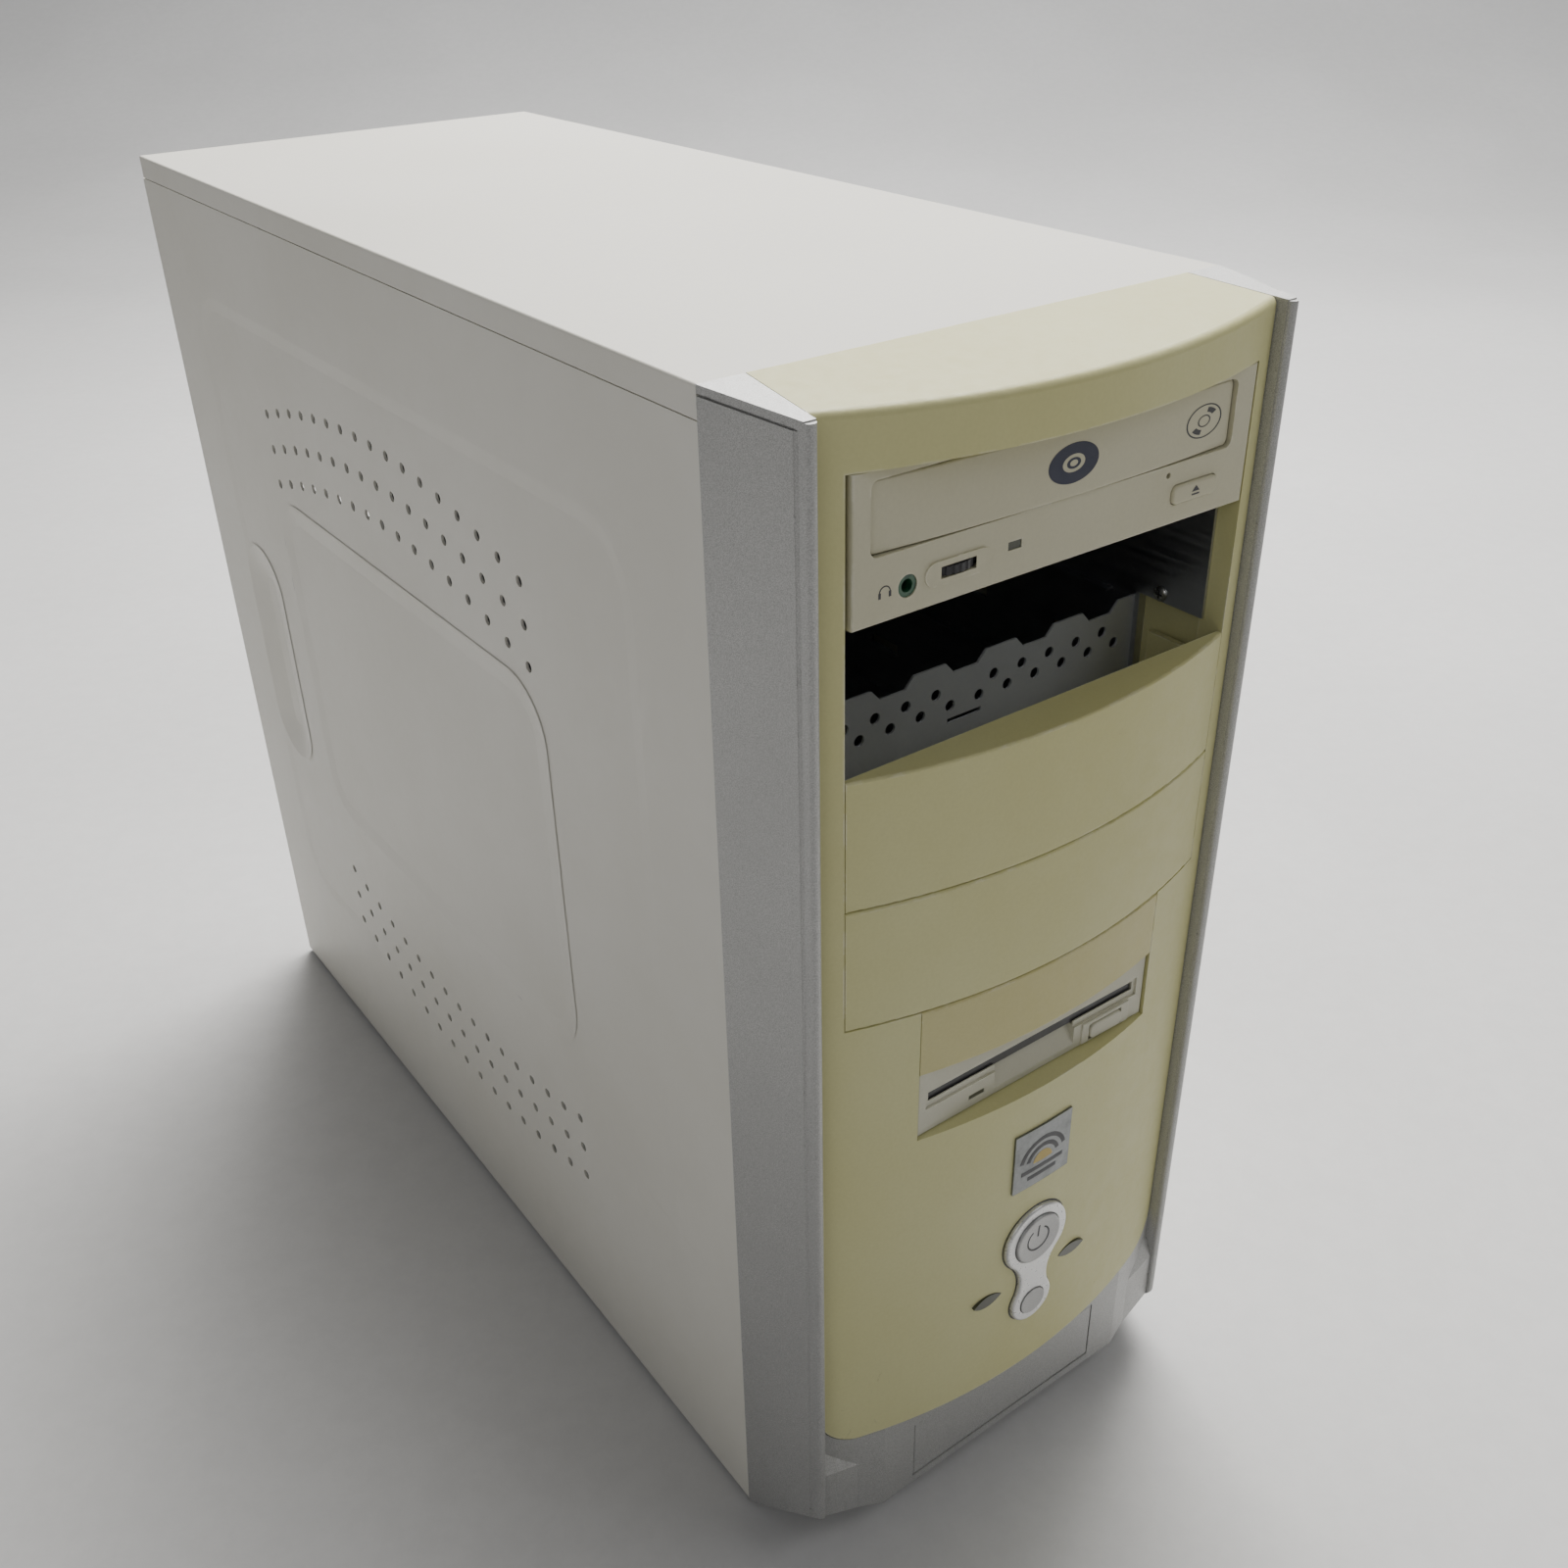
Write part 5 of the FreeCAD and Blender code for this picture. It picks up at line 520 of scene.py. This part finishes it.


# ---------------------------------------------------------------- marks on the front, all generic, and a painted shade line round the button surround
def make_power_mark(ink):
    """The power sign: an open ring with a bar in its gap."""
    skin = Skin("power_button")
    middle = centre("power_button")
    inner, outer = 4.65 * MM, 5.35 * MM
    half_gap = 32
    half_bar = 0.35 * MM
    mark = Piece("power_symbol")
    skin.arc(mark, middle.x, middle.z, inner, outer, 90 + half_gap, 450 - half_gap, count=40)
    skin.bar(mark, middle.x - half_bar, middle.x + half_bar, middle.z + 0.8 * MM, middle.z + 6.4 * MM)
    mark.done(ink, "power_button")


def make_badge_marks(ink, amber):
    """Plain art on the badge: a half disc under two arcs, over two bars."""
    skin = Skin("badge")
    middle = centre("badge")
    foot = middle.z - 3.0 * MM
    stroke = 1.7 * MM
    emblem = Piece("badge_emblem")
    for number in range(2):
        radius = (6.0 + 3.2 * number) * MM
        skin.arc(emblem, middle.x, foot, radius, radius + stroke, 14, 166)
    for number in range(2):
        high = middle.z - (4.6 + 3.2 * number) * MM
        reach = (9.6 - 3.0 * number) * MM
        skin.bar(emblem, middle.x - reach, middle.x + reach, high - stroke, high)
    emblem.done(ink, "case")
    sun = Piece("badge_sun")
    skin.arc(sun, middle.x, foot, 0.2 * MM, 4.4 * MM, 4, 176)
    sun.done(amber, "case")


def make_tray_marks(ink, navy):
    """Two marks of flattened rings on the disc tray's front.

    A ring stops just short of a full turn, so that its ends stay apart."""
    skin = Skin("dvd_tray_front")
    low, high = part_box("dvd_tray_front")
    level = (low.z + high.z) / 2
    middle_x = (low.x + high.x) / 2 + 1.2 * MM
    side_x = middle_x + 53.4 * MM
    turn = 359.5
    disc_squash, ring_squash = 0.60, 0.62
    disc = Piece("tray_disc_mark")
    for inner, outer, count in ((4.2, 9.4, 44), (1.5, 2.6, 32)):
        skin.arc(disc, middle_x, level, inner * MM, outer * MM, 0, turn, disc_squash, count)
    disc.done(navy, "dvd_tray")
    ring = Piece("tray_ring_mark")
    for inner, outer, count in ((7.3, 7.9, 44), (2.3, 2.8, 32)):
        skin.arc(ring, side_x, level, inner * MM, outer * MM, 0, turn, ring_squash, count)
    for start in (35, 215):
        skin.arc(ring, side_x, level, 4.0 * MM, 6.2 * MM, start, start + 42, ring_squash, 10)
    ring.done(ink, "dvd_tray")


def make_eject_mark(ink):
    """The eject sign: a triangle over a bar."""
    skin = Skin("dvd_eject_button")
    middle = centre("dvd_eject_button")
    left, right = middle.x - 1.6 * MM, middle.x + 1.6 * MM
    mark = Piece("eject_mark")
    skin.bar(mark, left, right, middle.z - 0.2 * MM, middle.z + 1.5 * MM, narrow=0.06)
    skin.bar(mark, left, right, middle.z - 1.3 * MM, middle.z - 0.8 * MM)
    mark.done(ink, "dvd_eject_button")


def make_headphone_mark(ink):
    """The headphone sign: a band over two ear pads."""
    skin = Skin("dvd_bezel")
    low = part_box("dvd_bezel")[0]
    x = low.x + 10.6 * MM
    z = low.z + 8.2 * MM
    mark = Piece("headphone_mark")
    skin.arc(mark, x, z, 1.6 * MM, 1.95 * MM, 5, 175, count=16)
    for sign in (-1, 1):
        inner, outer = sorted((x + sign * 1.3 * MM, x + sign * 2.1 * MM))
        skin.bar(mark, inner, outer, z - 1.4 * MM, z + 0.2 * MM)
    mark.done(ink, "case")


def make_surround_seam_shade(ink):
    """A dark line of painted shade that follows the eight-shaped surround where it meets the fascia.

    The outline is a large circle over a small one, joined by two hollow arcs."""
    low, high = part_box("button_bezel")
    large = (high.x - low.x) / 2
    small = 9.4 * MM
    hollow = 16 * MM
    top, foot = high.z - large, low.z + small
    # far and near: from a hollow arc's centre to the large and the small centre, which are rise apart.
    # drop and side: how far that centre lies below the large one and from the middle.
    far, near, rise = large + hollow, small + hollow, top - foot
    drop = (far ** 2 - near ** 2 + rise ** 2) / (2 * rise)
    side = math.sqrt(far ** 2 - drop ** 2)
    upper = math.degrees(math.asin(drop / far))
    lower = math.degrees(math.asin((rise - drop) / near))
    start, wide = 0.02 * MM, 0.55 * MM
    skin = Skin("bezel_fascia", MARK_LIFT / 2)
    # The dark strip laid on the fascia is painted shade in the seam round the surround.
    mark = Piece("surround_seam_shade")
    skin.arc(mark, 0, top, large + start, large + wide, -upper, 180 + upper, count=56)
    skin.arc(mark, 0, foot, small + start, small + wide, 180 - lower, 360 + lower, count=48)
    for sign in (-1, 1):
        ends = (180 - upper, 180 + lower) if sign > 0 else (-lower, upper)
        skin.arc(mark, sign * side, top - drop, hollow - wide, hollow - start, *ends, count=20)
    mark.done(ink, "case")


# ---------------------------------------------------------------- screws, boards and sockets
def screw(piece, dark, spot, axis, sign, radius):
    """A pan-head screw on a surface, facing sign along axis, with the shade in its cross recess painted as a
    dark cross.
    """
    rise = radius * 0.38
    arm, half_width = radius * 0.55, radius * 0.12
    profile = ((-rise * 0.3, 0.94), (0.0, 1.0), (rise * 0.45, 0.98), (rise * 0.8, 0.8), (rise, 0.45),
               (rise * 1.02, 0.05))
    piece.turned(spot, axis, [(sign * height, radius * share) for height, share in profile])
    number = "xyz".index(axis)
    # The dark blocks are painted shade standing in for the cross recess.
    for long_axis in {0, 1, 2} - {number}:
        low = Vector(spot)
        high = Vector(spot)
        for other in {0, 1, 2} - {number}:
            reach = arm if other == long_axis else half_width
            low[other] -= reach
            high[other] += reach
        ends = sorted((spot[number] + sign * rise * 0.7, spot[number] + sign * rise * 1.1))
        low[number], high[number] = ends
        dark.block(low, high, radius * 0.03)


def make_bay_screw(bright, dark):
    """The screw head on the open bay's right wall, just above the cover."""
    head = Piece("bay_wall_screw")
    # A dark cross painted into the head stands in for the shade in its recess.
    recess_shade = Piece("bay_screw_recess_shade")
    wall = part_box("bay_shields")[1].x
    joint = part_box("bezel_frame")[1].y
    cover_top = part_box("bay_cover_upper")[1].z
    spot = Vector((wall, joint - 8.6 * MM, cover_top + 4.8 * MM))
    screw(head, recess_shade, spot, "x", -1, 2.6 * MM)
    head.done(bright, "case")
    recess_shade.done(dark, "case")


def make_board_parts(black, pale, alloy):
    """Lids of the motherboard's chips and sockets, and its capacitor cans.

    Their places repeat part.py's: mm back from the steel front, and mm up from the floor."""
    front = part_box("chassis_front")[0].y
    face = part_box("board_sockets")[1].x

    def lid(piece, tall, y, z, soft=0.3):
        piece.block((face - tall * MM - PROUD, front + y[0] * MM - PROUD, z[0] * MM - PROUD),
                    (face, front + y[1] * MM + PROUD, z[1] * MM + PROUD), soft * MM)

    chips = Piece("motherboard_chips")
    dot_inset = 2.2
    for tall, y, z in ((4, (262, 296), (190, 224)), (2.6, (250, 282), (88, 120)), (3, (214, 228), (60, 74)),
                       (2.2, (300, 318), (60, 74))):
        lid(chips, tall, y, z)
        dot = (face - tall * MM - PROUD, front + (y[0] + dot_inset) * MM, (z[0] + dot_inset) * MM)
        chips.turned(dot, "x", [(-0.05 * MM, 0.7 * MM), (0.1 * MM, 0.8 * MM)], 16)
    chips.done(black, "case")

    sockets = Piece("motherboard_headers")
    lid(sockets, 9, (206, 216), (168, 176))
    lid(sockets, 5, (322, 370), (238, 288), 0.6)
    sockets.done(pale, "case")

    cans = Piece("capacitor_cans")
    can_radius = 4.1
    profile = ((0, can_radius), (-2.0, can_radius), (-2.5, 3.9), (-3.0, can_radius), (-12.6, can_radius),
               (-13.1, 3.7), (-12.9, 1.0))
    for y, z in ((300, 232), (300, 246), (300, 290), (314, 308), (332, 308), (390, 214), (402, 214),
                 (240, 150)):
        cans.turned((face, front + y * MM, z * MM), "x",
                    [(height * MM, radius * MM) for height, radius in profile])
    cans.done(alloy, "case")


def make_memory_chips(black):
    """A row of chips along each memory module."""
    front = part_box("chassis_front")[0].y
    foot, pitch, tall = 192, 16, 12
    left, right = 55, 66
    near, far = 1.8, 5.2
    chips = Piece("memory_chips")
    for module in (222, 233):
        for number in range(8):
            z = (foot + pitch * number) * MM
            chips.block((left * MM - PROUD, front + (module + near) * MM, z - PROUD),
                        (right * MM + PROUD, front + (module + far) * MM + PROUD, z + tall * MM + PROUD),
                        0.25 * MM)
    chips.done(black, "case")


def make_cooler_clip(alloy):
    """The spring clip over the processor's cooler: a leg below, a leg above and a lever."""
    low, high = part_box("cpu_heatsink")
    middle_y, middle_z = (low.y + high.y) / 2, (low.z + high.z) / 2
    half_leg, half_lever = 1.3 * MM, 4.5 * MM
    reach, bite = 5 * MM, 0.2 * MM
    clip = Piece("cooler_clip")
    for foot, top in ((low.z - reach, low.z + bite), (high.z - bite, high.z + reach)):
        clip.block((high.x - 3.4 * MM, middle_y - half_leg, foot),
                   (high.x - 0.2 * MM, middle_y + half_leg, top), 0.4 * MM)
    clip.block((high.x - 4.2 * MM, middle_y - half_lever, middle_z + 42 * MM),
               (high.x - 2.2 * MM, middle_y + half_lever, middle_z + 46 * MM), 0.5 * MM)
    clip.done(alloy, "case")


def make_card_fins(alloy):
    """The graphics card's cooler: fins between the solid's grooves, and the plate they stand on."""
    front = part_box("chassis_front")[0].y
    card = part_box("graphics_card")[0]
    left, right = 11.9 * MM, 52.1 * MM
    first, last = 317.9, 358.1
    fins = [(first, 321.6)] + [(324.4 + 5 * n, 326.6 + 5 * n) for n in range(6)] + [(354.4, last)]
    cooler = Piece("card_cooler_fins")
    for near, far in fins:
        cooler.block((left, front + near * MM, card.z - 0.1 * MM),
                     (right, front + far * MM, card.z + 9.1 * MM), 0.3 * MM)
    cooler.block((left, front + first * MM, card.z + 8.9 * MM),
                 (right, front + last * MM, card.z + 11.4 * MM), 0.3 * MM)
    cooler.done(alloy, "case")


def make_rear_sockets(finishes, dark):
    """Coloured inserts of the round sockets, dark discs painted as the shade in their contact holes, and
    rings of the audio sockets.

    Their places repeat part.py's: mm from the motherboard's face, and mm up from the floor."""
    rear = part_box("io_shield")[1].y
    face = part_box("io_ports")[1].x
    contact_ring = 2.6 * MM
    for name, x, z, colour in (("mouse", 8, 305.5, "green"), ("keyboard", 22, 305.5, "purple")):
        insert = Piece(f"{name}_socket_insert")
        insert.turned((face - x * MM, rear - 4.4 * MM, z * MM), "y",
                      [(0, 4.55 * MM), (1.2 * MM, 4.55 * MM), (1.6 * MM, 4.1 * MM), (1.6 * MM, 0.3 * MM)])
        insert.done(finishes[colour], "case")
        # Dark discs painted on the insert as the shade in its contact holes.
        hole_shades = Piece(f"{name}_socket_hole_shades")
        for number in range(6):
            angle = math.radians(-50 + 56 * number)
            across = contact_ring * math.cos(angle)
            rise = contact_ring * math.sin(angle)
            hole_shades.turned((face - x * MM + across, rear - 2.9 * MM, z * MM + rise), "y",
                         [(0, 0.45 * MM), (0.2 * MM, 0.4 * MM)], 12)
        hole_shades.done(dark, "case")
    for name, z, colour in (("line_in", 180, "blue"), ("line_out", 171, "green")):
        ring = Piece(f"{name}_ring")
        ring.hollow((face - 7 * MM, rear, z * MM), 1.95 * MM, 3.4 * MM, -1.02 * MM, -0.55 * MM)
        ring.done(finishes[colour], "case")


def make_slot_screws(bright, dark):
    """One screw on each slot cover's tab."""
    heads = Piece("slot_cover_screws")
    # A dark cross painted into each head stands in for the shade in its recess.
    recess_shade = Piece("slot_screw_recess_shades")
    low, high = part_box("slot_covers")
    pitch = 20.32 * MM
    for number in range(1, 7):
        spot = Vector((low.x, high.y - 6.5 * MM, high.z + 11.1 * MM - pitch * number))
        screw(heads, recess_shade, spot, "x", -1, 2.9 * MM)
    heads.done(bright, "case")
    recess_shade.done(dark, "case")


# ---------------------------------------------------------------- studio
def make_camera():
    """Camera at the photograph's viewing angle."""
    spot = Vector((-0.29685, -0.51443, 0.54372))
    turn, rise, roll = (math.radians(a) for a in (-35.666, 30.937, -1.245))
    back = Vector((math.sin(turn) * math.cos(rise), -math.cos(turn) * math.cos(rise), math.sin(rise)))
    right = Vector((0, 0, 1)).cross(back).normalized()
    up = back.cross(right)
    tilted = (math.cos(roll) * right + math.sin(roll) * up,
              math.cos(roll) * up - math.sin(roll) * right, back)
    data = bpy.data.cameras.new("camera")
    data.lens = 35.91
    data.sensor_width = 36
    data.clip_start = 0.01
    camera = bpy.data.objects.new("camera", data)
    camera.matrix_world = Matrix.Translation(spot) @ Matrix(tilted).transposed().to_4x4()
    bpy.context.scene.collection.objects.link(camera)
    bpy.context.scene.camera = camera


def make_light(name, spot, aim, size, power, tint=(1, 1, 1)):
    """A square soft box that points at aim."""
    data = bpy.data.lights.new(name, "AREA")
    data.size = size
    data.energy = power
    data.color = tint
    item = bpy.data.objects.new(name, data)
    turn = (Vector(aim) - Vector(spot)).to_track_quat("-Z", "Y")
    item.matrix_world = Matrix.Translation(spot) @ turn.to_matrix().to_4x4()
    bpy.context.scene.collection.objects.link(item)


def make_studio():
    """Soft light from above and behind, weak fills from the left and the front, and the floor."""
    world = bpy.data.worlds.new("studio")
    world.use_nodes = True
    background = world.node_tree.nodes["Background"]
    background.inputs["Color"].default_value = (0.98, 0.98, 1.0, 1.0)
    background.inputs["Strength"].default_value = 0.14
    bpy.context.scene.world = world
    warm = (1.0, 0.985, 0.96)
    make_light("key", spot=(0.78, 0.70, 1.75), aim=(0, 0, 0.2), size=1.4, power=84, tint=warm)
    make_light("backdrop", spot=(1.45, 0.75, 2.9), aim=(3.0, 3.0, 1.0), size=2.4, power=95)
    make_light("left_fill", spot=(-1.5, -0.9, 1.1), aim=(0, -0.15, 0.15), size=0.9, power=3.5)
    make_light("front_soft", spot=(0.45, -0.75, 0.95), aim=(0.05, -0.25, 0.4), size=0.5, power=1.5)
    make_floor()


def make_floor():
    """The paper floor: flat round the object, then a quarter turn up into a wall behind it."""
    half = 5.44
    near, rise_start, radius, wall_top = -3.0, 1.7, 2.8, 4.6
    rows = [(near, 0.0), (rise_start - 0.4, 0.0)]
    for degrees in range(0, 91, 3):
        a = math.radians(degrees)
        rows.append((rise_start + radius * math.sin(a), radius - radius * math.cos(a)))
    rows.append((rise_start + radius, wall_top))
    mesh = bpy.data.meshes.new("floor")
    verts = [(side * half, y, z) for y, z in rows for side in (-1, 1)]
    faces = [(2 * n, 2 * n + 1, 2 * n + 3, 2 * n + 2) for n in range(len(rows) - 1)]
    mesh.from_pydata(verts, [], faces)
    for face in mesh.polygons:
        face.use_smooth = True
    floor = bpy.data.objects.new("floor", mesh)
    floor.rotation_euler.z = math.radians(-35.7)
    bpy.context.scene.collection.objects.link(floor)
    g = Graph("floor_paper")
    cloud = g.band(g.noise(3.2, 3, 0.5), 0.3, 0.7)
    tone = g.mix(cloud, (0.62, 0.617, 0.61), (0.66, 0.657, 0.65))
    tone = g.mix(g.band(g.noise(70, 6, 0.75), 0.35, 0.65, 0.0, 0.16), tone, (0.48, 0.478, 0.475))
    g.set(Base_Color=tone, Roughness=0.75)
    g.bump(g.noise(140, 4), 0.0003, 0.3)
    mesh.materials.append(g.material)


paint_nodes()
ink = moulded("mark_ink", (0.055, 0.055, 0.060), rough=0.5, grain=0.1)
navy = moulded("mark_navy", (0.030, 0.034, 0.062), rough=0.5, grain=0.1)
amber = moulded("badge_amber", (0.50, 0.36, 0.07), rough=0.35, grain=0.1)
make_power_mark(ink)
make_badge_marks(ink, amber)
# ink here paints the shade line in the seam round the button surround.
make_surround_seam_shade(ink)
make_tray_marks(ink, navy)
make_eject_mark(ink)
make_headphone_mark(ink)
chip_black = moulded("chip_black", (0.022, 0.022, 0.024), rough=0.55)
bare_alloy = plated("can_alloy", (0.66, 0.67, 0.68), rough=0.30)
zinc = plated("screw_zinc", (0.62, 0.62, 0.60), rough=0.28)
make_board_parts(chip_black, moulded("socket_cream", (0.56, 0.54, 0.42), rough=0.5), bare_alloy)
make_memory_chips(chip_black)
make_cooler_clip(bare_alloy)
make_card_fins(bare_alloy)
# chip_black here also paints the shade in the round sockets' contact holes.
make_rear_sockets({"green": moulded("insert_green", (0.10, 0.42, 0.16), rough=0.4),
                   "purple": moulded("insert_purple", (0.22, 0.10, 0.42), rough=0.4),
                   "blue": moulded("insert_blue", (0.08, 0.25, 0.55), rough=0.4)}, chip_black)
# chip_black here paints the shade in the screws' cross recesses.
make_slot_screws(zinc, chip_black)
make_bay_screw(zinc, chip_black)
make_camera()
make_studio()
